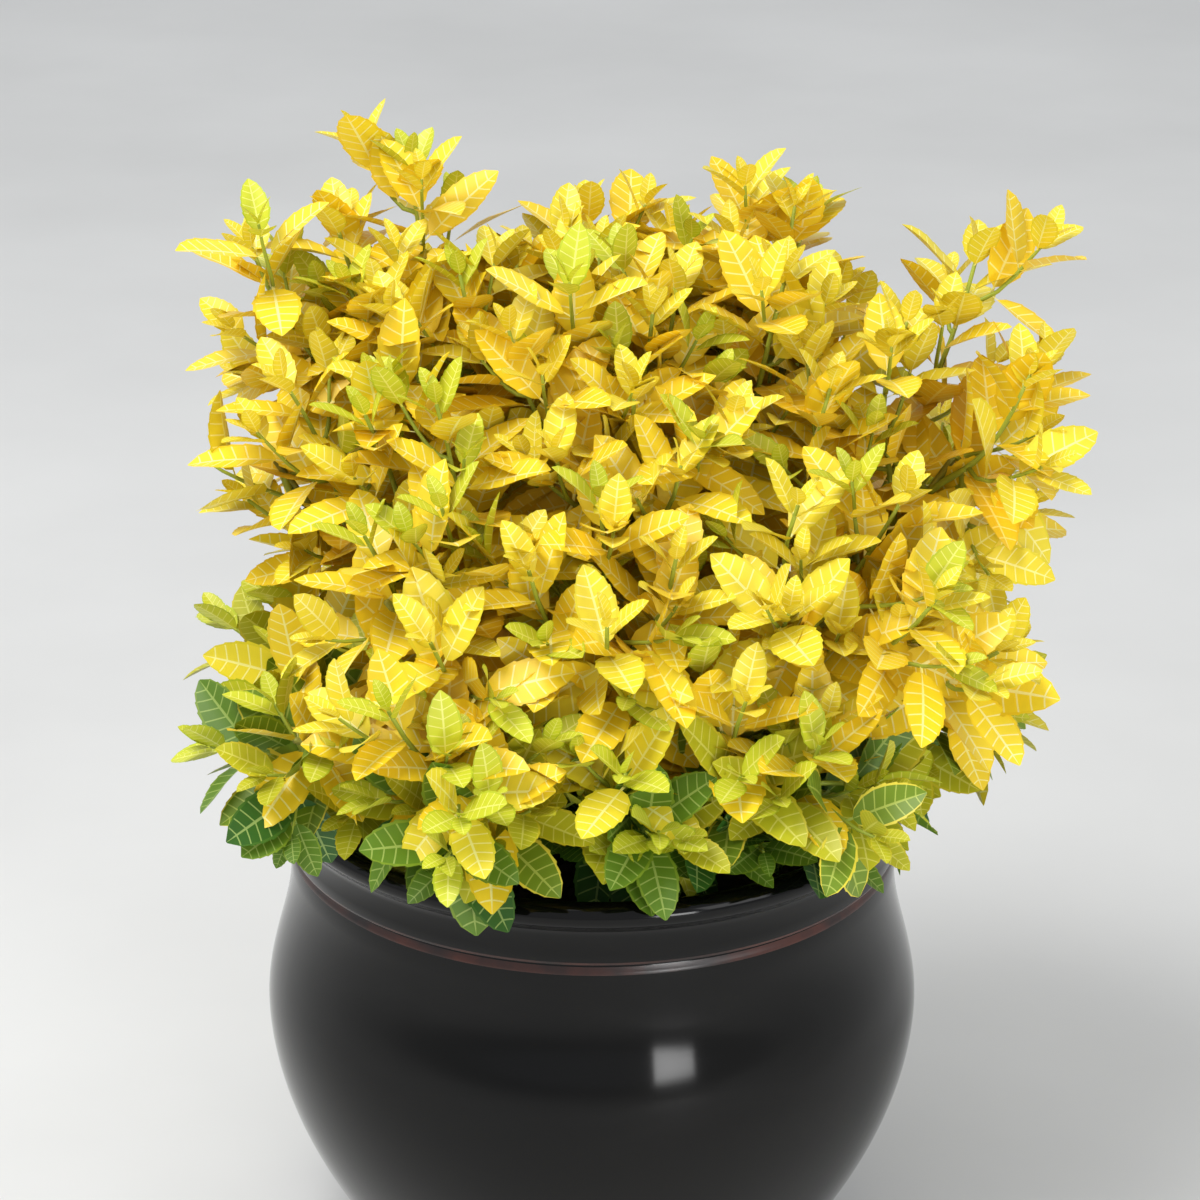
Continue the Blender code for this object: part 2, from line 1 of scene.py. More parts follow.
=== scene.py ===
"""Potted golden wintercreeper: the dressed model and its studio.

The origin is the centre of the pot's flat underside, +Z is up, -Y is the front, sizes are in
metres. Limbs grow by the plain model's rule, written again here: boughs leave one short main
stem, each ends in the middle of a mass of foliage, twigs run from it to the shoot tips, and
pairs of leaves stand on them, a quarter turn from pair to pair. Here the twigs also carry
side shoots, and filling shoots leave each mass's own stem.
"""

import logging
import math
from dataclasses import dataclass, field
from enum import Enum
from random import Random

import bpy
import numpy as np
from bpy.types import Material, Node, Object
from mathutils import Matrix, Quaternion, Vector
from mathutils.geometry import interpolate_bezier


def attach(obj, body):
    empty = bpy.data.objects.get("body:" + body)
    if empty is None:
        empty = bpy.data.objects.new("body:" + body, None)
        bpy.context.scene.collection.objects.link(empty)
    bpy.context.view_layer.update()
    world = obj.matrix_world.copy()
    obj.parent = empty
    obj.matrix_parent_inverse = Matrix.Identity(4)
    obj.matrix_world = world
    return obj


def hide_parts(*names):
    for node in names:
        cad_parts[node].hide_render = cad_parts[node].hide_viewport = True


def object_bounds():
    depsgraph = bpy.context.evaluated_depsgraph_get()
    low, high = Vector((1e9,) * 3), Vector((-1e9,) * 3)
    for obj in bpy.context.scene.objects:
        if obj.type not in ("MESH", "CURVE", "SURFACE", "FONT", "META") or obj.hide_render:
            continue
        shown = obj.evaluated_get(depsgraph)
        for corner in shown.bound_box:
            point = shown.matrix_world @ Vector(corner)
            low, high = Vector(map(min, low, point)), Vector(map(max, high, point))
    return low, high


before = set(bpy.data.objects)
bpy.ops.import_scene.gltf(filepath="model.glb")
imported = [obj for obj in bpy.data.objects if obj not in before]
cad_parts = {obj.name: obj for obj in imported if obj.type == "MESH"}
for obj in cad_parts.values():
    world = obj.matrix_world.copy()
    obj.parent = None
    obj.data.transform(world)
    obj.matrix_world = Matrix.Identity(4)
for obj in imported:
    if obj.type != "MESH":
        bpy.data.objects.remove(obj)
CAD_LOW, CAD_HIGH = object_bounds()

MM = 0.001
SEED = 21
POT_HEIGHT = 195 * MM
SOIL_TOP = 165 * MM  # where the soil meets the wall
SOIL_CROWN = 4 * MM  # it stands this much higher round the stem
GAP = 0.3 * MM  # between the soil and what it touches
BOX_SPARE = 5 * MM  # leaves may stand this far out of the plain model's box
TWIG_CLEAR = 2 * MM  # twigs pass the pot at this distance
LEAF_CLEAR = 1.5 * MM  # and leaves at this one
FULL_TURN = 2.0 * math.pi
UPRIGHT = 0.2  # a path that runs less than this share of its length sideways is upright
TIP_BULGE = 0.5  # a limb's last point stands out by this share of its radius
ANY_PHASE = 6.3  # a little over a full turn, the range of a random phase
NEXT_TURN = 2.4  # radians from one shoot to the next, about the golden angle

Colour = tuple[int, int, int]  # display steps of 0 to 255
Span = tuple[float, float]
Array = np.ndarray
Shape = tuple[Array, list[Array]]  # vertices, and blocks of faces
log = logging.getLogger("wintercreeper")


class Level(Enum):
    """Where a bough leaves the main stem, as a share of the stem's rise."""

    LOW = 0.34
    MIDDLE = 0.62
    HIGH = 0.86
    TOP = 1.0


class LeafPart(Enum):
    """The parts of a leaf that have a colour of their own."""

    VEIN = 0
    BLADE = 1
    MARGIN = 2


# Meshes and finishes


def linear(colour: Colour) -> tuple[float, float, float, float]:
    """Turn a display colour into the linear one that a shader takes.

    Args:
        colour: Red, green and blue in display steps.

    Returns:
        Linear red, green and blue, and a full alpha.
    """
    shares = [step / 255.0 for step in colour]
    light = [s / 12.92 if s <= 0.04045 else ((s + 0.055) / 1.055) ** 2.4 for s in shares]
    return (*light, 1.0)


def mesh_object(
    name: str, places: Array, blocks: list[Array], materials: list[Material],
    slots: Array | None = None, sharp: float | None = None,
) -> Object:
    """Make an object from arrays of vertices and faces.

    Args:
        name: The piece's name.
        places: Vertices, one row each.
        blocks: Arrays of faces, each with as many columns as its faces have corners.
        materials: The material of each slot.
        slots: The material slot of each face, in the order of the blocks.
        sharp: Edges sharper than this many degrees stay sharp.

    Returns:
        The new object, shaded smooth.
    """
    mesh = bpy.data.meshes.new(name)
    mesh.from_pydata(places.tolist(), [], [face for block in blocks for face in block.tolist()])
    for material in materials:
        mesh.materials.append(material)
    if slots is not None:
        mesh.polygons.foreach_set("material_index", slots.astype(np.int32))
    mesh.validate()
    mesh.shade_smooth()
    if sharp is not None:
        mesh.set_sharp_from_angle(angle=math.radians(sharp))
    thing = bpy.data.objects.new(name, mesh)
    bpy.context.scene.collection.objects.link(thing)
    return thing


def grid_faces(rows: int, columns: int, closed: bool) -> Array:
    """Join a grid of points, row after row, into quads.

    Args:
        rows: How many rows the grid has.
        columns: How many points a row has.
        closed: Whether each row is a ring.

    Returns:
        The quads, one row of four vertex numbers each.
    """
    index = np.arange(rows * columns).reshape(rows, columns)
    if closed:
        index = np.column_stack([index, index[:, 0]])
    corners = [index[:-1, :-1], index[:-1, 1:], index[1:, 1:], index[1:, :-1]]
    return np.stack(corners, axis=-1).reshape(-1, 4)


def ring_cap(first: int, columns: int, pole: int, upward: bool) -> Array:
    """Close a ring of points with one more point, its pole.

    Args:
        first: The ring's first vertex.
        columns: How many points the ring has.
        pole: The pole's vertex.
        upward: Whether the triangles run the way the ring does.

    Returns:
        The triangles.
    """
    here = first + np.arange(columns)
    after = np.roll(here, -1)
    pair = (here, after) if upward else (after, here)
    return np.stack([*pair, np.full(columns, pole)], axis=-1)


def ring_angles(count: int) -> Array:
    """Return the angles of points spread evenly round a ring."""
    return FULL_TURN * np.arange(count) / count


def capped(rings: Array, ends: Array, inward: bool) -> Shape:
    """Join rings of points into one skin that closes on a pole at each end.

    Args:
        rings: The points, rings by points of a ring.
        ends: The first and the last pole.
        inward: Whether the rings run so that their quads have to be turned over.

    Returns:
        The vertices and faces.
    """
    rows, sides = rings.shape[:2]
    total = rows * sides
    quads = grid_faces(rows, sides, closed=True)
    faces = [
        quads[:, ::-1] if inward else quads,
        ring_cap(0, sides, total, inward),
        ring_cap(total - sides, sides, total + 1, not inward),
    ]
    return np.concatenate([rings.reshape(-1, 3), ends]), faces


def turned(profile: Array, turns: int, relief: Array | None = None) -> Shape:
    """Turn a profile round the upright axis and close its two ends.

    A point lies at (radius cos a, radius sin a, height + relief).

    Args:
        profile: Radius and height, one row a ring.
        turns: How many points a ring has.
        relief: What is added to the height, one row a ring.

    Returns:
        The vertices and faces.
    """
    angle = ring_angles(turns)
    height = np.repeat(profile[:, 1:], turns, axis=1)
    if relief is not None:
        height = height + relief
    radius = profile[:, :1]
    rings = np.stack([radius * np.cos(angle), radius * np.sin(angle), height], axis=-1)
    poles = np.array([(0.0, 0.0, height[0].mean()), (0.0, 0.0, height[-1].mean())])
    return capped(rings, poles, inward=True)


def shader_of(name: str, roughness: float, specular: float) -> tuple[Material, Node]:
    """Make a material.

    Args:
        name: The material's name.
        roughness: How rough it is.
        specular: How strongly it mirrors, from 0 to 1.

    Returns:
        The material and its main shader.
    """
    material = bpy.data.materials.new(name)
    material.use_nodes = True
    shader = material.node_tree.nodes["Principled BSDF"]
    shader.inputs["Roughness"].default_value = roughness
    shader.inputs["Specular IOR Level"].default_value = specular
    return material, shader


@dataclass(frozen=True)
class PlainFinish:
    """One colour, as the leaves and twigs have, dealt out by spray."""

    name: str
    colour: Colour
    roughness: float = 0.42
    specular: float = 0.4

    def make(self) -> Material:
        """Make the finish, with its colour in the shader's own socket.

        Returns:
            The material.
        """
        material, shader = shader_of(self.name, self.roughness, self.specular)
        shader.inputs["Base Color"].default_value = linear(self.colour)
        return material


@dataclass(frozen=True)
class MottledFinish:
    """Two colours that a noise mixes, with a noise relief, for glaze, soil and bark."""

    name: str
    dark: Colour
    light: Colour
    scale: float
    stretch: tuple[float, float, float] = (1.0, 1.0, 1.0)
    roughness: float = 0.8
    relief: float = 0.0
    relief_scale: float = 1.0
    specular: float = 0.5
    span: Span = (0.35, 0.65)
    detail: float = 6.0
    relief_detail: float = 4.0
    relief_strength: float = 0.6

    def noise(self, material: Material, way: Node, scale: float, detail: float) -> Node:
        """Add a noise to the material.

        Args:
            material: The material.
            way: The node that gives the coordinates.
            scale: How fine the noise is.
            detail: How many finer noises it carries.

        Returns:
            The noise node.
        """
        node = material.node_tree.nodes.new("ShaderNodeTexNoise")
        node.inputs["Scale"].default_value = scale
        node.inputs["Detail"].default_value = detail
        material.node_tree.links.new(way.outputs["Vector"], node.inputs["Vector"])
        return node

    def make(self) -> Material:
        """Make the finish, which reads the object's own coordinates.

        Returns:
            The material.
        """
        material, shader = shader_of(self.name, self.roughness, self.specular)
        tree = material.node_tree
        place = tree.nodes.new("ShaderNodeTexCoord")
        turn = tree.nodes.new("ShaderNodeMapping")
        turn.inputs["Scale"].default_value = self.stretch
        tree.links.new(place.outputs["Object"], turn.inputs["Vector"])
        noise = self.noise(material, turn, self.scale, self.detail)
        ramp = tree.nodes.new("ShaderNodeValToRGB")
        low, high = ramp.color_ramp.elements
        low.position, high.position = self.span
        low.color, high.color = linear(self.dark), linear(self.light)
        tree.links.new(noise.outputs["Fac"], ramp.inputs["Fac"])
        tree.links.new(ramp.outputs["Color"], shader.inputs["Base Color"])
        if self.relief:
            fine = self.scale * self.relief_scale
            grain = self.noise(material, turn, fine, self.relief_detail)
            bump = tree.nodes.new("ShaderNodeBump")
            bump.inputs["Strength"].default_value = self.relief_strength
            bump.inputs["Distance"].default_value = self.relief
            tree.links.new(grain.outputs["Fac"], bump.inputs["Height"])
            tree.links.new(bump.outputs["Normal"], shader.inputs["Normal"])
        return material


@dataclass(frozen=True)
class LeafTint:
    """The three colours of a leaf: veins, blade and margin."""

    name: str
    vein: Colour
    blade: Colour
    margin: Colour

    def make(self) -> list[Material]:
        """Return the materials in the order of LeafPart."""
        parts = (("vein", self.vein), ("blade", self.blade), ("margin", self.margin))
        return [PlainFinish(f"leaf_{self.name}_{part}", colour).make() for part, colour in parts]


TINTS = (
    LeafTint("sunlit", (253, 244, 165), (250, 222, 52), (247, 214, 44)),
    LeafTint("bright", (252, 240, 148), (246, 212, 40), (242, 206, 38)),
    LeafTint("lemon", (250, 243, 150), (240, 220, 56), (230, 214, 50)),
    LeafTint("young", (232, 232, 120), (206, 210, 52), (188, 200, 46)),
    # A deeper gold for the inner, older leaves of high sprays: partly their own colour, partly painted
    # shade.
    LeafTint("golden", (248, 224, 118), (240, 198, 36), (232, 188, 32)),
    # A deeper orange gold for the inner leaves of high sprays: painted shade.
    LeafTint("shaded_amber", (240, 204, 90), (232, 188, 34), (224, 178, 30)),
    LeafTint("olive", (214, 212, 96), (186, 184, 36), (204, 192, 46)),
    LeafTint("edged", (170, 185, 80), (112, 138, 30), (222, 206, 66)),
    LeafTint("green", (150, 172, 84), (92, 126, 30), (120, 146, 38)),
    LeafTint("dark", (140, 165, 90), (50, 95, 30), (66, 108, 34)),
)
TINT_NUMBER = {tint.name: number for number, tint in enumerate(TINTS)}


# Pot and soil


@dataclass
class Pot:
    """The glazed pot: a collar with a rolled lip, a thin groove and a full belly."""

    rim: float = 120 * MM
    bead: float = 5 * MM
    neck: float = 115 * MM
    groove_depth: float = 25.5 * MM
    groove_width: float = 2.4 * MM
    notch: tuple[Span, ...] = (  # the collar and groove: out from the neck, over the groove
        (1.2 * MM, 12.71 * MM), (1.2 * MM, 6.15 * MM), (1.2 * MM, 2.4 * MM), (0.7 * MM, 1.32 * MM),
        (-1.3 * MM, 0.48 * MM), (-1.3 * MM, -0.48 * MM), (-0.3 * MM, -1.92 * MM), (0.0, -3.2 * MM),
    )
    neck_depth: float = 36 * MM
    belly: float = 124.8 * MM
    belly_depth: float = 93 * MM
    foot: float = 81 * MM
    foot_round: float = 3 * MM
    belly_fall: float = 1.85
    wall: float = 8 * MM
    floor: float = 10 * MM
    inner_top: float = 12 * MM  # the inner wall ends this far under the lip's top
    lip_end: float = -50.0  # degrees, where the lip's round meets the collar
    counts: tuple[int, ...] = (40, 24, 60, 6)  # rings of the inner wall, lip, belly, foot
    lines: Span = (0.25, 1.35)  # the brown lines, in widths of the groove
    turns: int = 144
    sharp: float = 40.0

    def outer(self, depth: Array) -> Array:
        """Work out the pot's outside: half a cosine out to the belly, then a power down.

        Args:
            depth: Depths under the lip's top, from the neck down.

        Returns:
            The outer radius at each depth.
        """
        way = np.clip((depth - self.neck_depth) / (self.belly_depth - self.neck_depth), 0, 1)
        upper = self.neck + (self.belly - self.neck) * (0.5 - 0.5 * np.cos(math.pi * way))
        fall = np.clip((depth - self.belly_depth) / (POT_HEIGHT - self.belly_depth), 0, 1)
        lower = self.belly - (self.belly - self.foot) * fall ** self.belly_fall
        return np.where(depth < self.belly_depth, upper, lower)

    def profile(self) -> Array:
        """Work out the profile: floor, inner wall, lip, collar, groove, belly, foot.

        Returns:
            Radius and height, one row a point.
        """
        inner, lip, belly, round_foot = self.counts
        inside = np.linspace(POT_HEIGHT - self.floor, self.inner_top, inner)
        rows = [np.column_stack([self.outer(inside) - self.wall, POT_HEIGHT - inside])]
        angle = np.radians(np.linspace(180.0, self.lip_end, lip))
        across = self.rim - self.bead + self.bead * np.cos(angle)
        rows.append(np.column_stack([across, POT_HEIGHT - self.bead * (1 - np.sin(angle))]))
        groove = POT_HEIGHT - self.groove_depth
        rows.append(np.array([(self.neck + out, groove + over) for out, over in self.notch]))
        outside = np.linspace(self.neck_depth, POT_HEIGHT - self.foot_round, belly)
        rows.append(np.column_stack([self.outer(outside), POT_HEIGHT - outside]))
        turn = np.radians(np.linspace(10.0, 90.0, round_foot))
        foot = self.foot - self.foot_round
        rows.append(np.column_stack([
            foot + self.foot_round * np.cos(turn),
            self.foot_round * (1 - np.sin(turn)),
        ]))
        return np.concatenate(rows)

    def build(self) -> Object:
        """Build the pot: each point of the profile turned round the upright axis.

        Returns:
            The pot, with glaze and, in the groove, the brown line where it runs thin.
        """
        profile = self.profile()
        places, faces = turned(profile, self.turns)
        middle = 0.5 * (profile[:-1, 1] + profile[1:, 1])
        outward = 0.5 * (profile[:-1, 0] + profile[1:, 0]) > self.neck - 0.25 * self.wall
        away = np.abs(middle - (POT_HEIGHT - self.groove_depth))
        start, end = self.lines
        lined = outward & (away > start * self.groove_width) & (away < end * self.groove_width)
        slots = np.repeat(lined.astype(int), self.turns)
        slots = np.concatenate([slots, np.zeros(2 * self.turns)])
        glaze = MottledFinish("pot_glaze", (4, 4, 4), (9, 8, 7), 9.0, roughness=0.1, specular=0.24)
        line = MottledFinish("pot_groove_line", (22, 10, 7), (70, 30, 18), 60.0, roughness=0.3)
        finishes = [glaze.make(), line.make()]
        pot = mesh_object("pot_glazed", places, faces, finishes, slots, self.sharp)
        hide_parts("pot")
        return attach(pot, "root")

    def solid_at(self, points: Array, margin: float) -> Array:
        """Find the points that lie in the pot or its soil, or too near to them.

        Args:
            points: The points, one row each.
            margin: The least distance.

        Returns:
            Whether each point is in the way.
        """
        away = np.hypot(points[:, 0], points[:, 1])
        height = points[:, 2]
        depth = np.clip(POT_HEIGHT - height, 0.0, POT_HEIGHT)
        outer = np.where(depth < self.neck_depth, self.rim, self.outer(depth)) + margin
        inner = self.outer(depth) - self.wall - margin
        below = height < POT_HEIGHT + margin
        earth = height < SOIL_TOP + SOIL_CROWN + margin
        return (below & (away < outer) & (away > inner)) | (earth & (away < outer))


@dataclass
class Soil:
    """The dark potting soil: a crowned, lumpy top on a body that fits the pot."""

    crown_reach: tuple[float, ...] = (0.0, 30 * MM, 75 * MM)  # the last is the wall's
    crown_share: tuple[float, ...] = (1.0, 1.0, 0.4, 0.0)
    lump: float = 1.5 * MM
    lump_power: float = 1.2
    lump_share: float = 1.0 / 3.0
    lump_sink: float = 0.6
    highest: float = 2.4 * MM
    longest: float = 26 * MM
    shortest: float = 4 * MM
    waves: int = 18
    first_ring: float = 2 * MM
    edge: float = 1 * MM
    fade: float = 6 * MM
    wall_rows: int = 10
    rings: int = 46
    turns: int = 160

    def lumps(self, across: Array, back: Array) -> Array:
        """Work out the relief of the top, a sum of waves in many directions.

        Each wave is the sine of (x cos a + y sin a) 2 pi / length + phase. Short waves are
        lower than long ones, and the height of a lump is the sum's size to a power.

        Args:
            across: The points' places across.
            back: Their places back.

        Returns:
            The height to add at each point.
        """
        dice = np.random.default_rng(SEED)
        total = np.zeros_like(across)
        for length in np.geomspace(self.longest, self.shortest, self.waves):
            turn, phase = dice.uniform(0, FULL_TURN, 2)
            way = across * math.cos(turn) + back * math.sin(turn)
            total += math.sqrt(length / self.longest) * np.sin(FULL_TURN * way / length + phase)
        rise = self.lump * (np.abs(total) ** self.lump_power * self.lump_share - self.lump_sink)
        return np.minimum(rise, self.highest)

    def build(self, pot: Pot) -> Object:
        """Build the soil inside the pot.

        Args:
            pot: The pot that holds it.

        Returns:
            The soil's piece.
        """
        depth = np.linspace(POT_HEIGHT - SOIL_TOP, POT_HEIGHT - pot.floor - GAP, self.wall_rows)
        wall = np.column_stack([pot.outer(depth) - pot.wall - GAP, POT_HEIGHT - depth])
        wall[0, 1] -= GAP
        reach = wall[0, 0]
        across = np.linspace(self.first_ring, reach - self.edge, self.rings)
        crown = np.interp(across, (*self.crown_reach, reach), self.crown_share)
        profile = np.concatenate([np.column_stack([across, SOIL_TOP + SOIL_CROWN * crown]), wall])
        angle = ring_angles(self.turns)
        lumps = self.lumps(profile[:, :1] * np.cos(angle), profile[:, :1] * np.sin(angle))
        fade = np.clip((reach - profile[:, :1]) / self.fade, 0, 1)
        fade[self.rings:] = 0.0
        finish = MottledFinish(
            "soil", (20, 14, 10), (64, 46, 32), 160.0,
            roughness=0.95, relief=1.2 * MM, relief_scale=2.2,
        )
        places, faces = turned(profile, self.turns, fade * lumps)
        soil = mesh_object("soil_body", places, faces, [finish.make()])
        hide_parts("soil")
        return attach(soil, "root")


# Limbs


def tube(points: Array, radii: Array, sides: int, relief: Array | None = None) -> Shape:
    """Sweep a tapering tube along a path and close its ends.

    Each ring is middle + radius (side cos a + other sin a), where side is square to the
    path's own heading and to one direction kept for the whole path.

    Args:
        points: The path's points.
        radii: The radius at each point.
        sides: How many points a ring has.
        relief: What is added to the radius, one row a ring.

    Returns:
        The vertices and faces.
    """
    heading = np.gradient(points, axis=0)
    heading /= np.linalg.norm(heading, axis=1, keepdims=True)
    chord = points[-1] - points[0]
    kept = np.cross(chord, (0.0, 0.0, 1.0))
    if np.linalg.norm(kept) < UPRIGHT * np.linalg.norm(chord):
        kept = np.cross(chord, (1.0, 0.0, 0.0))
    side = kept - heading * (heading @ kept)[:, None]
    side /= np.linalg.norm(side, axis=1, keepdims=True)
    other = np.cross(heading, side)
    angle = ring_angles(sides)
    size = radii[:, None] + (0.0 if relief is None else relief)
    rings = side[:, None] * np.cos(angle)[None, :, None]
    rings = rings + other[:, None] * np.sin(angle)[None, :, None]
    poles = np.stack([points[0], points[-1] + heading[-1] * radii[-1] * TIP_BULGE])
    return capped(points[:, None] + rings * size[..., None], poles, inward=False)


def joined(parts: list[Shape]) -> Shape:
    """Join several tubes into one mesh.

    Args:
        parts: The tubes.

    Returns:
        The vertices and faces of all.
    """
    counts = [len(places) for places, _ in parts]
    firsts = np.concatenate([[0], np.cumsum(counts)[:-1]])
    blocks = [block + first for first, (_, faces) in zip(firsts, parts) for block in faces]
    return np.concatenate([places for places, _ in parts]), blocks


@dataclass(frozen=True)
class Bark:
    """Bark: ridges that wander along a limb, and knots across it."""

    depth: float
    counts: tuple[int, ...] = (2, 3, 5, 7)
    drift: float = 0.12
    ridge_share: float = 0.5
    knot_turn: Span = (0.55, 0.75)
    knot_power: int = 6
    knot_share: float = 0.7

    def relief(self, points: int, sides: int, dice: np.random.Generator) -> Array:
        """Work out the relief: sines round the limb that drift along it, and knots.

        A knot is a high power of a sine along the limb, so that it stands out as a ring.

        Args:
            points: How many rings the limb has.
            sides: How many points a ring has.
            dice: The random numbers.

        Returns:
            What is added to the radius, one row a ring.
        """
        along = np.arange(points)[:, None]
        total = np.zeros((points, sides))
        for count in self.counts:
            phase, drift = dice.uniform(0, ANY_PHASE), dice.uniform(-self.drift, self.drift)
            total += np.sin(count * ring_angles(sides) + drift * along + phase) / math.sqrt(count)
        knots = np.sin(along * dice.uniform(*self.knot_turn) + dice.uniform(0, ANY_PHASE))
        knots = np.maximum(0.0, knots) ** self.knot_power
        return self.depth * (self.ridge_share * total + self.knot_share * knots)


@dataclass
class MainStem:
    """The short woody stem that every bough leaves."""

    foot: Span = (0.010, -0.006)
    lean: Span = (-0.006, 0.004)
    rise: float = 46 * MM
    radii: tuple[float, ...] = (13 * MM, 9.6 * MM, 8 * MM, 7.2 * MM, 6.6 * MM, 6 * MM)
    foot_spare: float = 1.5 * MM
    stations: int = 34
    sides: int = 28
    bark: Bark = Bark(0.9 * MM)

    def point(self, share: float) -> Vector:
        """Return the stem's middle at a share of its rise."""
        foot = Vector((*self.foot, SOIL_TOP + SOIL_CROWN + GAP))
        return foot + Vector((*self.lean, 0.0)) * share ** 2 + Vector((0, 0, self.rise)) * share

    def radius(self, share: float) -> float:
        """Return the stem's radius at a share of its rise."""
        return float(np.interp(share, np.linspace(0, 1, len(self.radii)), self.radii))

    def build(self) -> Object:
        """Build the stem with its bark.

        Returns:
            The stem's piece.
        """
        shares = np.linspace(0.0, 1.0, self.stations)
        points = np.array([self.point(share) for share in shares])
        radii = np.array([self.radius(share) for share in shares])
        relief = self.bark.relief(self.stations, self.sides, np.random.default_rng(SEED))
        places, faces = tube(points, radii, self.sides, relief)
        places[:, 2] = np.maximum(places[:, 2], points[0, 2] - self.foot_spare)
        finish = MottledFinish(
            "stem_bark", (62, 46, 28), (138, 112, 70), 90.0, (1.0, 1.0, 0.3),
            roughness=0.85, relief=0.8 * MM, relief_scale=2.5,
        )
        stem = mesh_object("main_stem_bark", places, faces, [finish.make()])
        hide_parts("main_stem")
        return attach(stem, "root")


def over_rim(across: float, back: float, height: float) -> Vector:
    """Return the point at a height over the pot's rim."""
    return Vector((across, back, POT_HEIGHT + height))


@dataclass(frozen=True)
class Mass:
    """A mass of foliage: its middle, across, back and over the rim, and its bough's level."""

    name: str
    across: float
    back: float
    height: float
    level: Level

    @property
    def middle(self) -> Vector:
        """Return the mass's middle."""
        return over_rim(self.across, self.back, self.height)


MASSES = (
    Mass("crest_left", -0.072, 0.062, 0.145, Level.HIGH),
    Mass("crest_middle", 0.002, 0.080, 0.148, Level.HIGH),
    Mass("crest_right", 0.074, 0.066, 0.147, Level.HIGH),
    Mass("outer_left", -0.118, 0.006, 0.120, Level.MIDDLE),
    Mass("outer_right", 0.136, 0.010, 0.128, Level.MIDDLE),
    Mass("centre", 0.006, -0.002, 0.130, Level.TOP),
    Mass("front_left", -0.074, -0.062, 0.092, Level.MIDDLE),
    Mass("front_middle", 0.006, -0.080, 0.088, Level.MIDDLE),
    Mass("front_right", 0.088, -0.060, 0.094, Level.MIDDLE),
    Mass("low_left", -0.112, -0.010, 0.050, Level.LOW),
    Mass("low_right", 0.126, -0.028, 0.044, Level.LOW),
    Mass("sprawl_left", -0.106, -0.080, 0.046, Level.LOW),
    Mass("near_left", -0.050, -0.116, 0.046, Level.LOW),
    Mass("skirt_front", 0.016, -0.086, 0.022, Level.LOW),
    Mass("near_right", 0.078, -0.098, 0.040, Level.LOW),
    Mass("back_left", -0.078, 0.094, 0.066, Level.LOW),
    Mass("back_middle", 0.006, 0.116, 0.074, Level.LOW),
    Mass("back_right", 0.096, 0.092, 0.068, Level.LOW),
)


@dataclass
class Limb:
    """A bough and the stem of its mass: one bend from the main stem to the mass's middle."""

    start: Vector
    turn: Vector
    end: Vector

    def point(self, share: float) -> Vector:
        """Find a point that leaves start towards turn and arrives at end.

        Args:
            share: The share of the way, from 0 to 1.

        Returns:
            The point.
        """
        back = (1.0 - share) ** 2
        turn = 2.0 * (1.0 - share) * share
        return self.start * back + self.turn * turn + self.end * share ** 2

    def heading(self, share: float, near: float = 0.02) -> Vector:
        """Return the heading at a share of the way."""
        return (self.point(min(1.0, share + near)) - self.point(share - near)).normalized()


@dataclass
class Boughs:
    """The boughs, with the rule that bends them out of the main stem."""

    stem: MainStem
    stagger: float = 0.10
    sunk: float = 1.5 * MM  # how deep a bough starts in the main stem
    bend_out: float = 0.56
    bend_up: float = 0.30
    root: float = 3.4 * MM
    low_root: float = 2.9 * MM
    tip: float = 1.3 * MM
    taper: float = 0.8
    wander: float = 0.9 * MM
    wander_turn: Span = (6.0, 11.0)
    bark: Bark = Bark(0.28 * MM)
    stations: int = 26
    sides: int = 10
    limbs: dict[str, Limb] = field(default_factory=dict)

    def limb(self, mass: Mass, order: int) -> Limb:
        """Work out the limb that leads to a mass's middle.

        Args:
            mass: The mass.
            order: Its number, by which low boughs take turns in height.

        Returns:
            The limb.
        """
        end = mass.middle
        if mass.level is Level.TOP:
            start = self.stem.point(1.0)
            return Limb(start, start.lerp(end, 0.5), end)
        share = mass.level.value
        if mass.level is Level.LOW:
            share += self.stagger * (1 if order % 2 else -1)
        middle = self.stem.point(share)
        outward = Vector((end.x - middle.x, end.y - middle.y, 0.0))
        turn = middle + outward * self.bend_out
        turn.z += (end.z - middle.z) * self.bend_up
        away = self.stem.radius(share) - self.sunk
        return Limb(middle + outward.normalized() * away, turn, end)

    def build(self) -> Object:
        """Build every limb with its bark, and keep the limbs for the twigs.

        Returns:
            All the limbs as one piece.
        """
        dice = np.random.default_rng(SEED + 1)
        shares = np.linspace(0.0, 1.0, self.stations)
        parts = []
        for order, mass in enumerate(MASSES):
            limb = self.limb(mass, order)
            self.limbs[mass.name] = limb
            root = self.low_root if mass.level is Level.LOW else self.root
            points = np.array([limb.point(share) for share in shares])
            wander = np.sin(shares * math.pi)[:, None] * np.sin(
                shares[:, None] * dice.uniform(*self.wander_turn, 3) + dice.uniform(0, ANY_PHASE, 3)
            )
            radii = root + (self.tip - root) * shares ** self.taper
            relief = self.bark.relief(self.stations, self.sides, dice)
            parts.append(tube(points + wander * self.wander, radii, self.sides, relief))
        finish = MottledFinish(
            "bough_bark", (112, 112, 40), (172, 172, 74), 120.0, (1.0, 1.0, 0.5),
            roughness=0.6, relief=0.3 * MM, relief_scale=2.0,
        )
        boughs = mesh_object("boughs_bark", *joined(parts), [finish.make()])
        kept = [mass.name for mass in MASSES if mass.level is not Level.TOP]
        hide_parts(*[f"bough_{name}" for name in kept])
        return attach(boughs, "root")


# Shoots of the crown


@dataclass
class Shoot:
    """A shoot's tip and its heading there."""

    tip: Vector
    heading: Vector


@dataclass(frozen=True)
class Flank:
    """A ring of shoots on the crown's side: shares of its height and reach, count, lean."""

    height_share: float
    reach_share: float
    count: int
    lean: float


